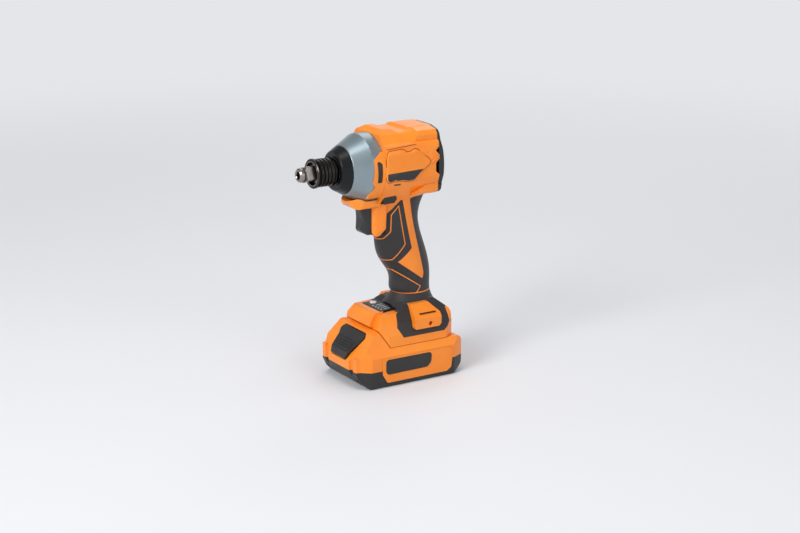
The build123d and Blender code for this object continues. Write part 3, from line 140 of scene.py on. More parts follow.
@dataclass(frozen=True)
class Finish:
    """Surface of one real material: two close colours, a fine grain and softly broken edges.

    The grain is a noise whose scale is worked out from its size in millimetres; it moves the roughness
    around its middle and makes the bump. A second, wide noise moves the colour between its two shades, as
    handling does.
    """

    name: str
    shade: str
    tint: str
    roughness: float
    metallic: float = 0.0
    ior: float = 1.5
    grain_mm: float = 0.6
    grain_depth_mm: float = 0.03
    cloud_mm: float = 25.0
    roughness_spread: float = 0.06
    edge_mm: float = 0.5
    stretch: Triple = (1.0, 1.0, 1.0)
    coat: float = 0.0
    coat_roughness: float = 0.2
    sheen: float = 0.0
    transmission: float = 0.0
    anisotropic: float = 0.0

    def material(self) -> bpy.types.Material:
        """Builds the material from the fields.

        Returns:
            The new material.
        """
        made = bpy.data.materials.new(self.name)
        made.use_nodes = True
        made.diffuse_color = linear(self.shade)
        tree = made.node_tree
        tree.nodes.clear()
        place = add_node(tree, "ShaderNodeTexCoord")
        turned = add_node(tree, "ShaderNodeMapping", {"Scale": self.stretch},
                          {"Vector": place.outputs["Object"]})
        cloud, grain = [
            add_node(tree, "ShaderNodeTexNoise", {"Scale": 1 / (size * MM), "Detail": detail},
                     {"Vector": turned.outputs["Vector"]})
            for size, detail in ((self.cloud_mm, CLOUD_DETAIL), (self.grain_mm, GRAIN_DETAIL))
        ]
        shades = add_node(tree, "ShaderNodeValToRGB", links={"Fac": cloud.outputs["Fac"]})
        low, high = shades.color_ramp.elements
        low.position, low.color = NOISE_LOW, linear(self.shade)
        high.position, high.color = NOISE_HIGH, linear(self.tint)
        worn = add_node(tree, "ShaderNodeMapRange",
                        {"From Min": NOISE_LOW, "From Max": NOISE_HIGH,
                         "To Min": self.roughness - self.roughness_spread,
                         "To Max": self.roughness + self.roughness_spread},
                        {"Value": grain.outputs["Fac"]})
        soft_edge = add_node(tree, "ShaderNodeBevel", {"Radius": self.edge_mm * MM}, samples=EDGE_SAMPLES)
        relief = add_node(tree, "ShaderNodeBump", {"Strength": 1.0, "Distance": self.grain_depth_mm * MM},
                          {"Height": grain.outputs["Fac"], "Normal": soft_edge.outputs["Normal"]})
        body = add_node(
            tree, "ShaderNodeBsdfPrincipled",
            {"Metallic": self.metallic, "IOR": self.ior, "Coat Weight": self.coat,
             "Coat Roughness": self.coat_roughness, "Sheen Weight": self.sheen,
             "Transmission Weight": self.transmission, "Anisotropic": self.anisotropic},
            {"Base Color": shades.outputs["Color"], "Roughness": worn.outputs["Result"],
             "Normal": relief.outputs["Normal"]},
        )
        add_node(tree, "ShaderNodeOutputMaterial", links={"Surface": body.outputs["BSDF"]})
        return made


# Moulded glass-filled nylon: a satin orange with a fine spark-eroded grain
ORANGE_NYLON = Finish("orange_moulded_nylon", "fa8718", "fc9224", 0.36, ior=1.53, grain_mm=0.45,
                      grain_depth_mm=0.02, edge_mm=0.7)
# Soft elastomer moulded over the handle: nearly black, matt, with a faint warm sheen at grazing angles
GRIP_ELASTOMER = Finish("overmoulded_elastomer", "1f1c1d", "272425", 0.58, ior=1.5, grain_mm=0.5,
                        grain_depth_mm=0.05, edge_mm=0.6, sheen=0.15)
# Black moulded nylon: satin, a shade deeper than the rubber
BLACK_NYLON = Finish("black_moulded_nylon", "1a191a", "232223", 0.42, ior=1.53, grain_mm=0.45,
                     grain_depth_mm=0.02, edge_mm=0.6)
# Smooth hard rubber of the nose ring: closer to gloss than the grip
NOSE_RUBBER = Finish("smooth_nose_rubber", "090a0b", "0f1011", 0.3, ior=1.36, grain_mm=0.8,
                     grain_depth_mm=0.008, edge_mm=0.5)
# Plain nylon inside: dull dark grey
DARK_NYLON = Finish("plain_dark_nylon", "2e2e30", "38383a", 0.5, ior=1.53)
# Die-cast case with a grey baked coat: metal flake under a satin surface, cool in colour
CASE_COAT = Finish("grey_coated_die_casting", "86969d", "929fa6", 0.32, metallic=0.65, grain_mm=0.35,
                   grain_depth_mm=0.006, edge_mm=0.5, roughness_spread=0.04)
# Black oxide steel: turned rings keep a dark metallic gloss
BLACK_OXIDE = Finish("black_oxide_steel", "161513", "242120", 0.24, metallic=1.0, grain_mm=0.5,
                     grain_depth_mm=0.006, edge_mm=0.3, stretch=(3.0, 1.0, 1.0), anisotropic=0.3)
# Black oxide rubbed through along an edge: bare steel shows as a thin dull line, which is also a painted
# highlight standing in for the glints along the edges
RUBBED_EDGE_AND_GLINT = Finish("rubbed_oxide_edge_and_painted_glint", "4e4b47", "605c58", 0.3, metallic=1.0, grain_mm=0.5,
                     grain_depth_mm=0.004, edge_mm=0.1)
# Painted shade for the floors of the grooves turned in the black oxide steel and the inside of the sleeve:
# near black and dull, standing in for the shadow there
GROOVE_PAINTED_SHADE = Finish("black_oxide_painted_groove_shade", "060606", "0a0a0a", 0.7, ior=1.3, grain_mm=0.5,
                      grain_depth_mm=0.004, edge_mm=0.1)
# Hardened drive steel: bright on its ground faces, brownish grey from heat treatment
DRIVE_STEEL = Finish("hardened_drive_steel", "958c87", "a89f99", 0.28, metallic=1.0, grain_mm=0.4,
                     grain_depth_mm=0.006, edge_mm=0.35, stretch=(4.0, 1.0, 1.0), anisotropic=0.3)
# Drawn spring wire: clean mid-grey metal
SPRING_WIRE = Finish("drawn_spring_wire", "8a8a8c", "98989a", 0.28, metallic=1.0, edge_mm=0.1)
# Sintered bronze: soft brown metal, matt from its pores
BUSH_BRONZE = Finish("sintered_bronze", "8c6a3c", "9a784a", 0.5, metallic=1.0, edge_mm=0.3)
# Stacked laminations: fine lines across the motor's length
LAMINATIONS = Finish("stacked_laminations", "77787a", "858688", 0.45, metallic=1.0, grain_mm=0.5,
                     grain_depth_mm=0.02, stretch=(4.0, 0.2, 0.2), edge_mm=0.2)
# Enamelled copper: warm red metal under varnish
COPPER_WIRE = Finish("enamelled_copper", "a2592c", "b46a3a", 0.3, metallic=1.0, grain_mm=0.5,
                     grain_depth_mm=0.08, stretch=(0.2, 4.0, 4.0), edge_mm=0.2, coat=0.4)
# Potted circuit board: dull green resin
BOARD_RESIN = Finish("potted_circuit_board", "1d4a2c", "235634", 0.4, edge_mm=0.3)
# Painted shade of a groove in the orange shell: the same nylon, deeper in tone because little light gets in,
# laid as a thin line where the groove's shadow falls
ORANGE_PAINTED_SHADE = Finish("orange_nylon_painted_groove_shade", "96460a", "a24e0e", 0.55, grain_mm=0.7,
                      grain_depth_mm=0.01, edge_mm=0.1)
# Printed legend ink: pale grey, flat
LEGEND_INK = Finish("pale_legend_ink", "b9bcc0", "c6c9cc", 0.5, grain_mm=0.3, grain_depth_mm=0.004,
                    edge_mm=0.1)
# Membrane of the control panel: deep black, half gloss
PANEL_MEMBRANE = Finish("gloss_panel_membrane", "0a0a0c", "0f0f11", 0.36, ior=1.28, grain_mm=2.0,
                        grain_depth_mm=0.004, roughness_spread=0.03, edge_mm=0.4)
# Pale polished button: pinkish white acetal
BUTTON_ACETAL = Finish("pale_acetal_button", "e6d2d2", "efe0df", 0.25, ior=1.48, edge_mm=0.3)
# Clear moulded lens
LENS_CLEAR = Finish("clear_polycarbonate_lens", "e8eef2", "f4f8fa", 0.08, ior=1.58, roughness_spread=0.02,
                    grain_depth_mm=0.002, transmission=0.85, edge_mm=0.3)
# Shrink sleeve on the cells
CELL_FILM = Finish("cell_shrink_film", "1f4f86", "285a94", 0.3, ior=1.5, edge_mm=0.3)

SLOT_FINISHES: dict[str, Finish] = {
    "orange_plastic": ORANGE_NYLON,
    "grip_rubber": GRIP_ELASTOMER,
    "black_plastic": BLACK_NYLON,
    "dark_nylon": DARK_NYLON,
    "cast_case_metal": CASE_COAT,
    "blackened_steel": BLACK_OXIDE,
    "drive_steel": DRIVE_STEEL,
    "spring_steel": SPRING_WIRE,
    "bearing_bronze": BUSH_BRONZE,
    "core_laminations": LAMINATIONS,
    "winding_copper": COPPER_WIRE,
    "circuit_board": BOARD_RESIN,
    "panel_gloss": PANEL_MEMBRANE,
    "button_white": BUTTON_ACETAL,
    "lamp_lens": LENS_CLEAR,
    "cell_sleeve": CELL_FILM,
}
NODE_FINISHES: dict[str, Finish] = {"nose_bumper": NOSE_RUBBER}


@dataclass
class Palette:
    """Materials made once, and the CAD nodes that wear them."""

    made: dict[str, bpy.types.Material] = field(default_factory=dict)

    def get(self, finish: Finish) -> bpy.types.Material:
        """Gives a finish's material, made on first use.

        Args:
            finish: Finish that is wanted.

        Returns:
            Its material.
        """
        if finish.name not in self.made:
            self.made[finish.name] = finish.material()
        return self.made[finish.name]

    def dress_nodes(self) -> None:
        """Gives every CAD node the finish of its slot in the record."""
        for subpart in frame["record"]["subparts"]:
            name = subpart["node"]
            finish = NODE_FINISHES.get(name, SLOT_FINISHES[subpart["material_slot"]])
            mesh = frame["nodes"][name].data
            mesh.materials.clear()
            mesh.materials.append(self.get(finish))


def rounded(outline: Outline, steps: int = 6) -> np.ndarray:
    """Closed outline with its corners rounded.

    Each corner p with radius r becomes a quadratic curve from p + r*a to p + r*b, where a and b are the
    unit vectors towards its neighbours: (1-t)^2 start + 2t(1-t) p + t^2 end.

    Args:
        outline: Corners as (first, second, radius).
        steps: Points along each corner.

    Returns:
        Points as rows of two values, anticlockwise.
    """
    rows = np.array(outline, float)
    corners, radii = rows[:, :2], rows[:, 2:]
    before = np.roll(corners, 1, 0) - corners
    after = np.roll(corners, -1, 0) - corners
    length_before = np.linalg.norm(before, axis=1, keepdims=True)
    length_after = np.linalg.norm(after, axis=1, keepdims=True)
    cut = np.minimum(radii, CORNER_SHARE * np.minimum(length_before, length_after))
    start = corners + cut * before / length_before
    end = corners + cut * after / length_after
    t = np.linspace(0, 1, steps)[None, :, None]
    points = (1 - t) ** 2 * start[:, None] + 2 * t * (1 - t) * corners[:, None] + t ** 2 * end[:, None]
    points = points.reshape(-1, 2)
    following = np.roll(points, -1, 0)
    area = np.sum(points[:, 0] * following[:, 1] - following[:, 0] * points[:, 1])
    return points if area > 0 else points[::-1]


def inset(points: np.ndarray, distance: float) -> np.ndarray:
    """Moves a closed anticlockwise outline inwards, along the normal of the chord through its neighbours.

    Args:
        points: Outline as rows of two values.
        distance: How far inwards.

    Returns:
        The moved outline.
    """
    chord = np.roll(points, -1, 0) - np.roll(points, 1, 0)
    normal = np.stack([-chord[:, 1], chord[:, 0]], 1)
    return points + distance * normal / np.maximum(np.linalg.norm(normal, axis=1, keepdims=True), TINY)


def inside(points: np.ndarray, loop: np.ndarray) -> np.ndarray:
    """Tells which points lie inside a closed outline, by counting the edges to their right.

    Args:
        points: Points to test.
        loop: Outline as rows of two values.

    Returns:
        True for each point inside.
    """
    a, b = loop[None], np.roll(loop, -1, 0)[None]
    u, v = points[:, None, 0], points[:, None, 1]
    spans = (a[..., 1] > v) != (b[..., 1] > v)
    rise = np.where(b[..., 1] == a[..., 1], TINY, b[..., 1] - a[..., 1])
    crossing = a[..., 0] + (v - a[..., 1]) * (b[..., 0] - a[..., 0]) / rise
    return np.sum(spans & (u < crossing), 1) % 2 == 1


def new_piece(name: str, points_mm: np.ndarray, faces: Faces, finish: Finish, palette: Palette,
              body: str) -> bpy.types.Object:
    """Makes a smooth-shaded object from points and faces, and lets it ride on a body.

    Args:
        name: Name of the piece.
        points_mm: Points as rows of x, y, z in millimetres.
        faces: Faces as lists of point numbers.
        finish: What it is made of.
        palette: Materials.
        body: CAD body that carries it.

    Returns:
        The new object, at the origin.
    """
    mesh = bpy.data.meshes.new(name)
    mesh.from_pydata((points_mm * MM).tolist(), [], faces)
    joined = bmesh.new()
    joined.from_mesh(mesh)
    bmesh.ops.remove_doubles(joined, verts=joined.verts, dist=WELD * MM)
    joined.to_mesh(mesh)
    joined.free()
    mesh.polygons.foreach_set("use_smooth", np.ones(len(mesh.polygons), bool))
    mesh.materials.append(palette.get(finish))
    mesh.update()
    piece = bpy.data.objects.new(name, mesh)
    bpy.context.scene.collection.objects.link(piece)
    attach(piece, body)
    log.info("%s: %d faces on %s", name, len(mesh.polygons), body)
    return piece


@dataclass(frozen=True)
class SideFace:
    """Side of the tool, as its half width over x and z."""

    side: Side
    width: Surface

    def place(self, flat: np.ndarray, lift: np.ndarray) -> np.ndarray:
        """Puts points on the side: (x, z, lift) becomes (x, sign * (width(x, z) + lift), z).

        Args:
            flat: Rows of x and z.
            lift: Height of each point over the face.

        Returns:
            Rows of x, y, z.
        """
        y = self.width(flat[:, 0], flat[:, 1]) + lift
        return np.stack([flat[:, 0], self.side.value * y, flat[:, 1]], 1)

    def facing(self, faces: Faces) -> Faces:
        """Turns faces so that they look outwards.

        Args:
            faces: Faces that run anticlockwise over x and z.

        Returns:
            The faces as seen from outside.
        """
        return [face[::-1] for face in faces] if self.side is Side.LEFT else faces


@dataclass(frozen=True)
class FlatFace:
    """Plane through a point, with two directions along it; its normal is their cross product."""

    origin: Triple
    along: Triple = (1.0, 0.0, 0.0)
    across: Triple = (0.0, 1.0, 0.0)

    def place(self, flat: np.ndarray, lift: np.ndarray) -> np.ndarray:
        """Puts points on the plane: origin + u * along + v * across + lift * normal.

        Args:
            flat: Rows of u and v.
            lift: Height of each point over the face.

        Returns:
            Rows of x, y, z.
        """
        axes = np.array([self.along, self.across, np.cross(self.along, self.across)])
        return np.array(self.origin) + np.column_stack([flat, lift]) @ axes

    def facing(self, faces: Faces) -> Faces:
        """Leaves faces as they are, because they already look along the normal.

        Args:
            faces: Faces that run anticlockwise over u and v.

        Returns:
            The same faces.
        """
        return faces


@dataclass
class Inlay:
    """Thin plate with a rounded rim that lies on a face of the tool.

    The plate is a stack of copies of one outline: each ring is the outline moved inwards by the rim's
    profile and lifted by a quarter-round, lift = height * sin(angle), inwards = rim * (1 - cos(angle)).
    The middle is filled with a net of triangles over the same surface, so that it follows the curve.
    """

    name: str
    outline: Outline
    height: float
    rim: float
    finish: Finish
    body: str
    slot: str
    sunk: float = 0.6
    net: float = 2.5
    rings: int = 5
    grow: float = 0.0

    def build(self, face: SideFace | FlatFace, palette: Palette, mark: str = "") -> bpy.types.Object:
        """Builds the plate on one face.

        Args:
            face: Where it lies.
            palette: Materials.
            mark: Ending of the piece's name.

        Returns:
            The new piece.
        """
        edge = inset(rounded(self.outline), -self.grow)
        angle = np.linspace(0, np.pi / 2, self.rings)
        moved = [edge] + [inset(edge, d) for d in self.rim * (1 - np.cos(angle))]
        lifts = [-self.sunk] + (self.height * np.sin(angle)).tolist()
        lines = np.concatenate(moved)
        count = len(edge)
        index = np.arange(count)
        following = np.roll(index, -1)
        bands = np.concatenate([
            np.stack([index, following, following + count, index + count], 1) + k * count
            for k in range(len(moved) - 1)
        ])
        cap_points, cap_faces = self.fill(moved[-1])
        faces = bands.tolist() + [[i + len(lines) for i in piece] for piece in cap_faces]
        lift = np.concatenate([np.repeat(lifts, count), np.full(len(cap_points), self.height)])
        points = face.place(np.concatenate([lines, cap_points]), lift)
        return new_piece(self.name + mark, points, face.facing(faces), self.finish, palette, self.body)

    def fill(self, loop: np.ndarray) -> tuple[np.ndarray, Faces]:
        """Fills an outline with triangles on an even net of points.

        Args:
            loop: Outline as rows of two values.

        Returns:
            Points and faces.
        """
        low, high = loop.min(0), loop.max(0)
        lines = [np.arange(start, end, self.net) for start, end in zip(low, high)]
        grid = np.stack(np.meshgrid(*lines), -1).reshape(-1, 2)
        grid = grid[inside(grid, inset(loop, NET_MARGIN * self.net))]
        every = [Vector(point) for point in np.concatenate([loop, grid]).tolist()]
        edges = [(i, (i + 1) % len(loop)) for i in range(len(loop))]
        points, _, faces, *_ = delaunay_2d_cdt(every, edges, [], INSIDE_ONLY, JOIN)
        return np.array([tuple(p) for p in points]), faces


def head_side(x: np.ndarray, z: np.ndarray) -> np.ndarray:
    """Half width of the head at a height, along straight lines between the corners of its end view.

    Args:
        x: Stations along the spindle; not used, as the width stays the same over them.
        z: Heights.

    Returns:
        Distance from the middle plane.
    """
    heights = np.array([-16.0, -9.0, 14.5, 22.4]) + SPINDLE_HEIGHT
    widths = np.array([29.0, 31.6, 31.6, 30.2])
    return np.interp(z, heights, widths)


def even_side(half_width: float) -> Surface:
    """Side of the tool that keeps one half width: width(x, z) = half_width.

    Args:
        half_width: Distance from the middle plane.

    Returns:
        The side as a function of x and z.
    """
    return lambda x, z: np.full_like(x, half_width)


def on_spindle(outline: Outline) -> Outline:
    """Lifts an outline whose heights are measured from the spindle line.

    Args:
        outline: Corners as (x, height over the spindle, radius).

    Returns:
        The corners with their heights over the ground.
    """
    return [(x, z + SPINDLE_HEIGHT, r) for x, z, r in outline]


@dataclass
class Turning:
    """Ring turned about the spindle line from a closed profile of (x, radius), given anticlockwise.

    Point k of the profile at turn t is (x_k, r_k cos t, spindle height + r_k sin t).
    """

    name: str
    profile: Profile
    finish: Finish
    body: str
    slot: str
    steps: int = 144
    sharp_angle: float = 0.6

    def build(self, palette: Palette) -> bpy.types.Object:
        """Builds the ring.

        Args:
            palette: Materials.

        Returns:
            The new piece.
        """
        x, radius = np.array(self.profile).T
        turn = np.linspace(0, 2 * np.pi, self.steps, endpoint=False)
        points = np.stack([np.tile(x, (self.steps, 1)), np.outer(np.cos(turn), radius),
                           SPINDLE_HEIGHT + np.outer(np.sin(turn), radius)], -1).reshape(-1, 3)
        row, column = np.meshgrid(np.arange(self.steps), np.arange(len(x)), indexing="ij")
        here, after = row * len(x), (row + 1) % self.steps * len(x)
        beside = (column + 1) % len(x)
        corners = [here + column, here + beside, after + beside, after + column]
        faces = np.stack(corners, -1).reshape(-1, 4).tolist()
        piece = new_piece(self.name, points, faces, self.finish, palette, self.body)
        piece.data.set_sharp_from_angle(angle=self.sharp_angle)
        return piece


@dataclass(frozen=True)
class Coil:
    """Compression spring of round wire, in place of its CAD node.

    The wire's middle runs along start + axis * length * t + radius * n, where n = cos(a) * u + sin(a) * v
    turns about the axis with a = 2 pi turns t. Every axis lies in the tool's middle plane, so u is Y and
    v is axis x u. The skin is a circle round that line, middle + wire / 2 * (cos(s) * n + sin(s) * b),
    where b is square to n and to the wire.
    """

    name: str
    node: str
    body: str
    joint: str
    start: Triple
    axis: Triple
    radius: float
    wire: float
    length: float
    turns: int
    travel: float
    steps: int = 40
    sides: int = 12

    def build(self, palette: Palette) -> bpy.types.Object:
        """Builds the spring and hides its CAD node.

        Args:
            palette: Materials.

        Returns:
            The new piece.
        """
        axis = np.array(self.axis) / np.linalg.norm(self.axis)
        across = np.array([0.0, 1.0, 0.0])
        share = np.linspace(0, 1, self.steps * self.turns + 1)[:, None]
        angle = 2 * np.pi * self.turns * share
        outward = np.cos(angle) * across + np.sin(angle) * np.cross(axis, across)
        middle = np.array(self.start) + axis * self.length * share + self.radius * outward
        tangent = np.gradient(middle, axis=0)
        beside = np.cross(tangent / np.linalg.norm(tangent, axis=1)[:, None], outward)
        round_wire = np.linspace(0, 2 * np.pi, self.sides, endpoint=False)[None, :, None]
        skin = np.cos(round_wire) * outward[:, None] + np.sin(round_wire) * beside[:, None]
        points = (middle[:, None] + self.wire / 2 * skin).reshape(-1, 3)
        row, column = np.meshgrid(np.arange(len(middle) - 1), np.arange(self.sides), indexing="ij")
        first, second = row * self.sides + column, row * self.sides + (column + 1) % self.sides
        corners = [first, second, second + self.sides, first + self.sides]
        faces = np.stack(corners, -1).reshape(-1, 4).tolist()
        ends = [list(range(self.sides))[::-1], list(range(len(points) - self.sides, len(points)))]
        piece = new_piece(self.name, points, faces + ends, SPRING_WIRE, palette, self.body)
        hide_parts(self.node)
        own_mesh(piece)
        return piece


@dataclass
class Springs:
    """Springs of the trigger, the quick-release sleeve and the battery's button."""

    coils: ClassVar[list[Coil]] = [
        Coil("trigger_coil", "trigger_spring", "housing", "trigger_slide", start=(7.5, 0.0, 150.0),
             axis=(1.0, 0.0, 0.0), radius=4.1, wire=0.8, length=13.0, turns=6, travel=6.5),
        Coil("sleeve_coil", "sleeve_spring", "sleeve", "sleeve_slide", start=(67.35, 0.0, SPINDLE_HEIGHT),
             axis=(1.0, 0.0, 0.0), radius=9.45, wire=0.9, length=9.5, turns=5, travel=3.0),
        Coil("latch_coil", "latch_spring", "battery", "release_press", start=(35.81, 0.0, 34.88),
             axis=(0.956, 0.0, 0.293), radius=2.6, wire=0.7, length=6.5, turns=4, travel=3.0),
    ]

    def build(self, palette: Palette) -> None:
        """Builds the three springs.

        Args:
            palette: Materials.
        """
        for coil in self.coils:
            coil.build(palette)


@dataclass
class NoseTrim:
    """Rubber lip on the nose, and the quick-release sleeve as a core in painted shade, with ribs, and rubbed
    edges that are wear and painted highlight.
    """

    lip: Profile = field(default_factory=lambda: [
        (60.7, 12.9), (61.2, 12.9), (61.35, 13.2), (61.35, 16.3), (61.25, 16.7), (60.7, 17.2),
    ])
    core: Profile = field(default_factory=lambda: [
        (61.8, 8.35), (66.8, 8.35), (66.8, 10.6), (80.6, 10.6), (80.6, 11.65), (61.8, 11.65),
    ])
    flange: Profile = field(default_factory=lambda: [
        (80.38, 10.55), (82.6, 10.55), (82.6, 12.7), (82.0, 13.3), (80.38, 13.3),
    ])
    flange_edge: Profile = field(default_factory=lambda: [
        (82.63, 12.68), (82.03, 13.33), (81.8, 13.2), (82.5, 12.5),
    ])
    mouth: Profile = field(default_factory=lambda: [
        (82.66, 10.5), (82.66, 11.1), (82.4, 11.1), (82.4, 10.5),
    ])
    sleeve_rear: float = 61.8
    sleeve_radius: float = 12.6
    rib_foot: float = 11.4
    first_groove: float = 64.35
    groove_pitch: float = 3.52
    groove_width: float = 1.95
    grooves: int = 5
    rub_and_glint_width: float = 0.35
    rub_and_glint_root: float = 0.25
    rub_and_glint_proud: float = 0.03
    rub_and_glint_sunk: float = 0.05

    def ring(self, name: str, profile: Profile, finish: Finish) -> Turning:
        """Gives a ring of the sleeve.

        Args:
            name: Name of the piece.
            profile: Closed profile of (x, radius).
            finish: What it is made of.

        Returns:
            The ring, not yet built.
        """
        return Turning(name, profile, finish, "sleeve", "blackened_steel")

    def build(self, palette: Palette) -> None:
        """Builds the lip, the sleeve's core in painted shade and its flange, its ribs, and at each groove's
        edges a rubbed line that is also a painted highlight.

        Args:
            palette: Materials.
        """
        Turning("nose_lip", self.lip, NOSE_RUBBER, "housing", "black_plastic").build(palette)
        # Painted shade: the core is near black, darkening the groove floors and the sleeve's inside
        core = self.ring("sleeve_core", self.core, GROOVE_PAINTED_SHADE).build(palette)
        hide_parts("chuck_sleeve")
        self.ring("sleeve_flange", self.flange, BLACK_OXIDE).build(palette)
        # Wear and painted highlight: a pale steel ring on the flange's chamfer
        self.ring("sleeve_flange_edge", self.flange_edge, RUBBED_EDGE_AND_GLINT).build(palette)
        Turning("sleeve_mouth", self.mouth, DRIVE_STEEL, "sleeve", "drive_steel").build(palette)
        top, rear = self.sleeve_radius, self.sleeve_rear
        for number in range(1, self.grooves + 1):
            front = self.first_groove + (number - 1) * self.groove_pitch
            rib = [(front, self.rib_foot), (front, top), (rear, top), (rear, self.rib_foot)]
            self.ring(f"sleeve_rib_{number}", rib, BLACK_OXIDE).build(palette)
            rear = front + self.groove_width
            # Wear and painted highlight: a thin pale steel ring along each edge of the groove
            for mark, x, way in (("rear", front, -1), ("front", rear, 1)):
                far = x + way * self.rub_and_glint_width
                line = [(x, top - self.rub_and_glint_root), (x, top + self.rub_and_glint_proud), (far, top + self.rub_and_glint_proud),
                        (far, top - self.rub_and_glint_sunk)]
                self.ring(f"sleeve_edge_{number}_{mark}", line[::-way], RUBBED_EDGE_AND_GLINT).build(palette)


@dataclass
class HeadTrim:
    """Raised panel on each side of the head with its dark strip and ledge, and the shoulder behind it;
    painted shade lines round the panel and under the ledge, and a black plate as the painted shade of a small
    slot.
    """

    panel: Outline = field(default_factory=lambda: [
        (22.4, 18.3, 2.0), (9.9, 19.0, 3.0), (5.8, 18.4, 1.5), (3.5, 16.1, 1.5), (-1.2, 16.3, 1.5),
        (-4.1, 18.2, 1.5), (-7.6, 17.8, 2.0), (-20.6, 7.2, 2.0), (-21.6, 4.1, 2.0), (-4.2, -9.9, 1.5),
        (1.7, -10.6, 1.0), (8.7, -9.0, 1.0), (13.4, -9.4, 1.0), (15.2, -8.2, 1.0), (21.4, -10.0, 1.0),
        (24.4, -7.2, 1.0), (24.4, 12.0, 2.0),
    ])
    strip: Outline = field(default_factory=lambda: [
        (23.8, -1.4, 0.8), (-14.0, -0.4, 0.8), (-4.0, -9.2, 1.0), (1.7, -9.9, 1.0), (8.7, -8.3, 1.0),
        (13.4, -8.7, 1.0), (15.2, -7.5, 1.0), (21.4, -9.2, 1.0), (23.8, -6.9, 1.0),
    ])
    ledge: Outline = field(default_factory=lambda: [
        (23.6, 20.5, 0.2), (23.6, 21.5, 0.2), (-6.6, 23.2, 0.2), (-6.6, 22.2, 0.2),
    ])
    # Painted shadow: outline of a thin darker orange line under the ledge
    groove: Outline = field(default_factory=lambda: [
        (24.0, 19.95, 0.2), (24.0, 20.5, 0.2), (-6.8, 22.2, 0.2), (-6.8, 21.65, 0.2),
    ])
    # Painted shade: outline of a black plate laid where a small slot would be dark
    slot: Outline = field(default_factory=lambda: [
        (16.2, -11.8, 0.3), (8.7, -12.0, 0.3), (9.8, -13.4, 0.3), (15.6, -13.2, 0.3),
    ])
    shoulder: Outline = field(default_factory=lambda: [
        (-14.8, 21.4, 0.8), (-20.9, 12.2, 2.0), (-22.5, 5.6, 1.0), (-29.6, 11.0, 0.4), (-26.8, 14.4, 0.4),
        (-30.4, 17.9, 0.4), (-30.5, 21.2, 0.6),
    ])
    rib: Outline = field(default_factory=lambda: [
        (-21.6, 3.9, 0.3), (-22.2, 3.1, 0.3), (-29.8, 9.35, 0.3), (-29.2, 10.1, 0.3),
    ])

    def build(self, palette: Palette) -> None:
        """Builds the panel with its painted shade line, the strip, the ledge with its painted shadow line,
        the small slot as a plate of painted shade, the shoulder and its rib on both sides.

        Args:
            palette: Materials.
        """
        trim = [
            # Painted shade: a darker orange line just outside the panel stands in for the shadow in its edge
            # gap
            Inlay("head_groove_painted_shade", on_spindle(self.panel), height=0.08, rim=0.05, finish=ORANGE_PAINTED_SHADE,
                  body="housing", slot="orange_plastic", grow=0.7),
            Inlay("head_panel", on_spindle(self.panel), height=1.0, rim=0.8, finish=ORANGE_NYLON,
                  body="housing", slot="orange_plastic"),
            Inlay("head_strip", on_spindle(self.strip), height=1.2, rim=0.25, finish=BLACK_NYLON,
                  body="housing", slot="black_plastic"),
            # Painted shadow: a darker orange line under the ledge
            Inlay("ledge_painted_shadow", on_spindle(self.groove), height=0.1, rim=0.05, finish=ORANGE_PAINTED_SHADE,
                  body="housing", slot="orange_plastic", net=1.5),
            Inlay("head_ledge", on_spindle(self.ledge), height=0.6, rim=0.3, finish=ORANGE_NYLON,
                  body="housing", slot="orange_plastic", net=1.5),
            # Painted shade: the small slot as a black plate
            Inlay("head_slot_painted_shade", on_spindle(self.slot), height=0.12, rim=0.1, finish=BLACK_NYLON,
                  body="housing", slot="black_plastic", net=1.0),
            Inlay("head_shoulder", on_spindle(self.shoulder), height=0.5, rim=0.4, finish=ORANGE_NYLON,
                  body="housing", slot="orange_plastic"),
            Inlay("head_rib", on_spindle(self.rib), height=0.9, rim=0.4, finish=ORANGE_NYLON,
                  body="housing", slot="orange_plastic", net=1.0),
        ]
        for side in Side:
            for plate in trim:
                plate.build(SideFace(side, head_side), palette, side.mark)


@dataclass
class FootTrim:
    """Legend bars and lamps of the control panel, and a black plate as painted shade on the floor of each
    hook slot.
    """

    panel_face: float = 65.8
    bar_rows: tuple[float, ...] = (-2.6, 2.0, 6.6, 11.2)
    bar: Outline = field(default_factory=lambda: [
        (9.0, -0.5, 0.2), (15.4, -0.5, 0.2), (15.4, 0.5, 0.2), (9.0, 0.5, 0.2),
    ])
    lamp_radius: float = 0.9
    lamp_x: float = 18.4
    slot_floor: float = 31.2
    slot: Outline = field(default_factory=lambda: [
        (-9.7, 61.1, 0.2), (-9.7, 62.6, 0.2), (-27.5, 62.6, 0.2), (-27.5, 61.1, 0.2),
    ])

    def build(self, palette: Palette) -> None:
        """Builds the legend, the lamps and the painted shade on the slot floors.

        Args:
            palette: Materials.
        """
        bar = Inlay("panel_bar", self.bar, height=0.06, rim=0.05, finish=LEGEND_INK, body="housing",
                    slot="panel_gloss", sunk=0.1, net=1.0)
        reach = self.lamp_radius
        dot = [(reach, -reach, reach), (reach, reach, reach), (-reach, reach, reach), (-reach, -reach, reach)]
        lamp = Inlay("panel_lamp", dot, height=0.12, rim=0.3, finish=LEGEND_INK, body="housing",
                     slot="lamp_lens", sunk=0.1, net=1.0)
        for number, y in enumerate(self.bar_rows, 1):
            bar.build(FlatFace((0.0, y, self.panel_face)), palette, f"_{number}")
            lamp.build(FlatFace((self.lamp_x, y, self.panel_face)), palette, f"_{number}")
        # Painted shade: a black plate darkens the floor of each hook slot
        slot = Inlay("hook_slot_painted_shade", self.slot, height=0.1, rim=0.1, finish=BLACK_NYLON, body="housing",
                     slot="black_plastic", sunk=0.1)
        for side in Side:
            slot.build(SideFace(side, even_side(self.slot_floor)), palette, side.mark)


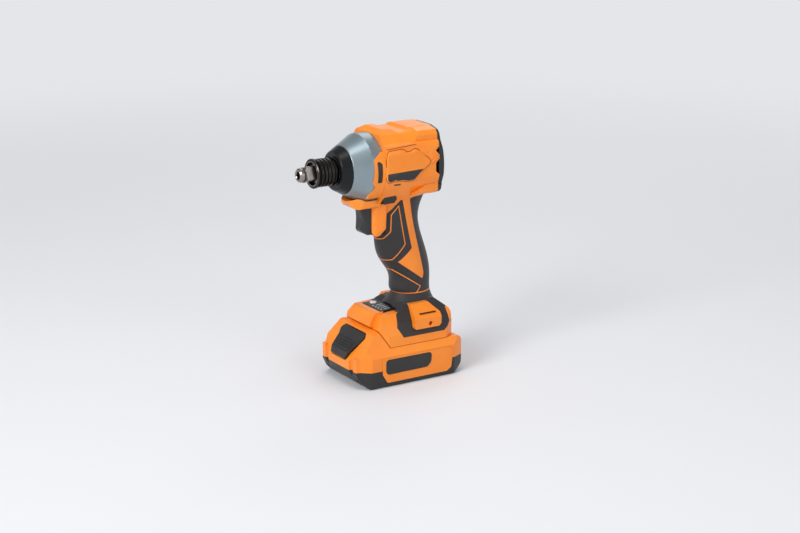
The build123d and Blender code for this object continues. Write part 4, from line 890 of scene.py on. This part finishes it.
@dataclass
class BatteryTrim:
    """Black field let into each side plate of the battery pack."""

    plate_face: float = 38.3
    field_outline: Outline = field(default_factory=lambda: [
        (29.5, 24.4, 1.5), (29.5, 14.6, 1.5), (27.0, 12.2, 1.0), (-14.6, 12.6, 1.5), (-18.8, 16.8, 1.5),
        (-19.4, 24.2, 1.5), (-17.4, 26.2, 1.0), (27.6, 26.4, 1.0),
    ])

    def build(self, palette: Palette) -> None:
        """Builds the field on both sides.

        Args:
            palette: Materials.
        """
        plate = Inlay("battery_field", self.field_outline, height=0.35, rim=0.25, finish=BLACK_NYLON,
                      body="battery", slot="black_plastic")
        for side in Side:
            plate.build(SideFace(side, even_side(self.plate_face)), palette, side.mark)


@dataclass(frozen=True)
class Lamp:
    """Soft square lamp: place, side and power, and the point that it faces."""

    name: str
    place: Triple
    size: float
    power: float
    aim: Triple = (0.0, 0.0, 120.0)

    def hang(self) -> None:
        """Hangs the lamp so that it faces its point."""
        light = bpy.data.lights.new(self.name, "AREA")
        light.energy = self.power
        light.size = self.size * MM
        holder = bpy.data.objects.new(self.name, light)
        holder.location = Vector(self.place) * MM
        holder.rotation_euler = (Vector(self.aim) - Vector(self.place)).to_track_quat("-Z", "Y").to_euler()
        bpy.context.scene.collection.objects.link(holder)


@dataclass
class Studio:
    """Pale floor, soft lamps and the camera of the photograph."""

    camera_place: Triple = (835.50, 1352.18, 549.59)
    camera_forward: Triple = (-0.50979, -0.81625, -0.27175)
    camera_lens: float = 81.2
    camera_range: tuple[float, float] = (50.0, 50000.0)
    sensor: float = 36.0
    floor_rings: Triple = (1.0, 300.0, 1200.0)
    floor_radius: float = 3000.0
    floor_steps: int = 96
    bend_steps: int = 16
    wall_bend: float = 900.0
    wall_height: float = 1500.0
    floor_colour: str = "e6e7ea"
    wall_colour: str = "e4e6ea"
    lit_radius: float = 350.0
    pale_radius: float = 1700.0
    room_colour: str = "f2f3f6"
    room_strength: float = 0.4
    lamps: ClassVar[list[Lamp]] = [
        Lamp("key", (2100.0, 700.0, 1400.0), 1050.0, 38.0),
        Lamp("top", (150.0, 150.0, 1600.0), 800.0, 7.5),
        Lamp("fill", (-300.0, 1600.0, 800.0), 900.0, 5.0),
        Lamp("back", (-900.0, -900.0, 1100.0), 900.0, 4.0),
    ]

    def build(self) -> None:
        """Builds floor, lamps, world and camera."""
        self.floor()
        for lamp in self.lamps:
            lamp.hang()
        self.world()
        self.camera()
        bpy.context.scene.view_settings.view_transform = "Standard"

    def floor(self) -> None:
        """Lays a round pale floor that bends up into a wall, as one turned profile.

        The profile runs flat out to the floor's radius, round a quarter circle of the bend's radius, and up.
        """
        bend = np.linspace(0, np.pi / 2, self.bend_steps)
        radius = np.concatenate([self.floor_rings, self.floor_radius + self.wall_bend * np.sin(bend),
                                 [self.floor_radius + self.wall_bend]])
        height = np.concatenate([np.zeros(len(self.floor_rings)), self.wall_bend * (1 - np.cos(bend)),
                                 [self.wall_height]])
        turn = np.linspace(0, 2 * np.pi, self.floor_steps, endpoint=False)
        points = np.stack([np.outer(np.cos(turn), radius), np.outer(np.sin(turn), radius),
                           np.tile(height, (len(turn), 1))], -1).reshape(-1, 3)
        row, column = np.meshgrid(np.arange(len(turn)), np.arange(len(radius) - 1), indexing="ij")
        first = row * len(radius) + column
        second = (row + 1) % len(turn) * len(radius) + column
        faces = np.stack([first, first + 1, second + 1, second], -1).reshape(-1, 4)
        middle = [(np.arange(len(turn)) * len(radius)).tolist()]
        mesh = bpy.data.meshes.new("studio_floor")
        mesh.from_pydata((points * MM).tolist(), [], faces.tolist() + middle)
        mesh.polygons.foreach_set("use_smooth", np.ones(len(mesh.polygons), bool))
        mesh.materials.append(self.paper())
        floor = bpy.data.objects.new("studio_floor", mesh)
        bpy.context.scene.collection.objects.link(floor)

    def paper(self) -> bpy.types.Material:
        """Makes the backdrop's paper: matt and lit near the tool, and evenly pale where it is far away.

        Returns:
            The material of floor and wall.
        """
        paper = bpy.data.materials.new("pale_backdrop_paper")
        paper.use_nodes = True
        tree = paper.node_tree
        tree.nodes.clear()
        place = add_node(tree, "ShaderNodeTexCoord")
        distance = add_node(tree, "ShaderNodeVectorMath", links={0: place.outputs["Object"]},
                            operation="LENGTH")
        far = add_node(tree, "ShaderNodeMapRange", {1: self.lit_radius * MM, 2: self.pale_radius * MM},
                       {0: distance.outputs["Value"]}, interpolation_type="SMOOTHSTEP")
        path = add_node(tree, "ShaderNodeLightPath").outputs
        mirrored = add_node(tree, "ShaderNodeMath",
                            links={0: path["Is Glossy Ray"], 1: path["Is Transmission Ray"]},
                            operation="MAXIMUM")
        seen = add_node(tree, "ShaderNodeMath", links={0: path["Is Camera Ray"], 1: mirrored.outputs[0]},
                        operation="MAXIMUM")
        share = add_node(tree, "ShaderNodeMath", links={0: far.outputs[0], 1: seen.outputs[0]},
                         operation="MULTIPLY")
        matt = add_node(tree, "ShaderNodeBsdfDiffuse", {"Color": linear(self.floor_colour)})
        pale = add_node(tree, "ShaderNodeEmission", {"Color": linear(self.wall_colour), "Strength": 1.0})
        both = add_node(tree, "ShaderNodeMixShader",
                        links={0: share.outputs[0], 1: matt.outputs[0], 2: pale.outputs[0]})
        add_node(tree, "ShaderNodeOutputMaterial", links={"Surface": both.outputs[0]})
        return paper

    def world(self) -> None:
        """Fills the room with even pale light."""
        world = bpy.data.worlds.new("studio_room")
        bpy.context.scene.world = world
        world.use_nodes = True
        tree = world.node_tree
        tree.nodes.clear()
        glow = add_node(tree, "ShaderNodeBackground",
                        {"Color": linear(self.room_colour), "Strength": self.room_strength})
        add_node(tree, "ShaderNodeOutputWorld", links={"Surface": glow.outputs["Background"]})

    def camera(self) -> None:
        """Stands the camera where the photograph was taken from."""
        data = bpy.data.cameras.new("photo_camera")
        data.lens = self.camera_lens
        data.sensor_width = self.sensor
        data.clip_start, data.clip_end = (MM * end for end in self.camera_range)
        camera = bpy.data.objects.new("photo_camera", data)
        camera.location = Vector(self.camera_place) * MM
        camera.rotation_euler = Vector(self.camera_forward).to_track_quat("-Z", "Y").to_euler()
        bpy.context.scene.collection.objects.link(camera)
        bpy.context.scene.camera = camera


def main() -> None:
    """Builds the finishes, the pieces and the studio."""
    logging.basicConfig(level=logging.INFO, format="%(name)s: %(message)s")
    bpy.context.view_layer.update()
    palette = Palette()
    palette.dress_nodes()
    NoseTrim().build(palette)
    HeadTrim().build(palette)
    FootTrim().build(palette)
    BatteryTrim().build(palette)
    Springs().build(palette)
    Studio().build()


if __name__ == "__main__":
    main()
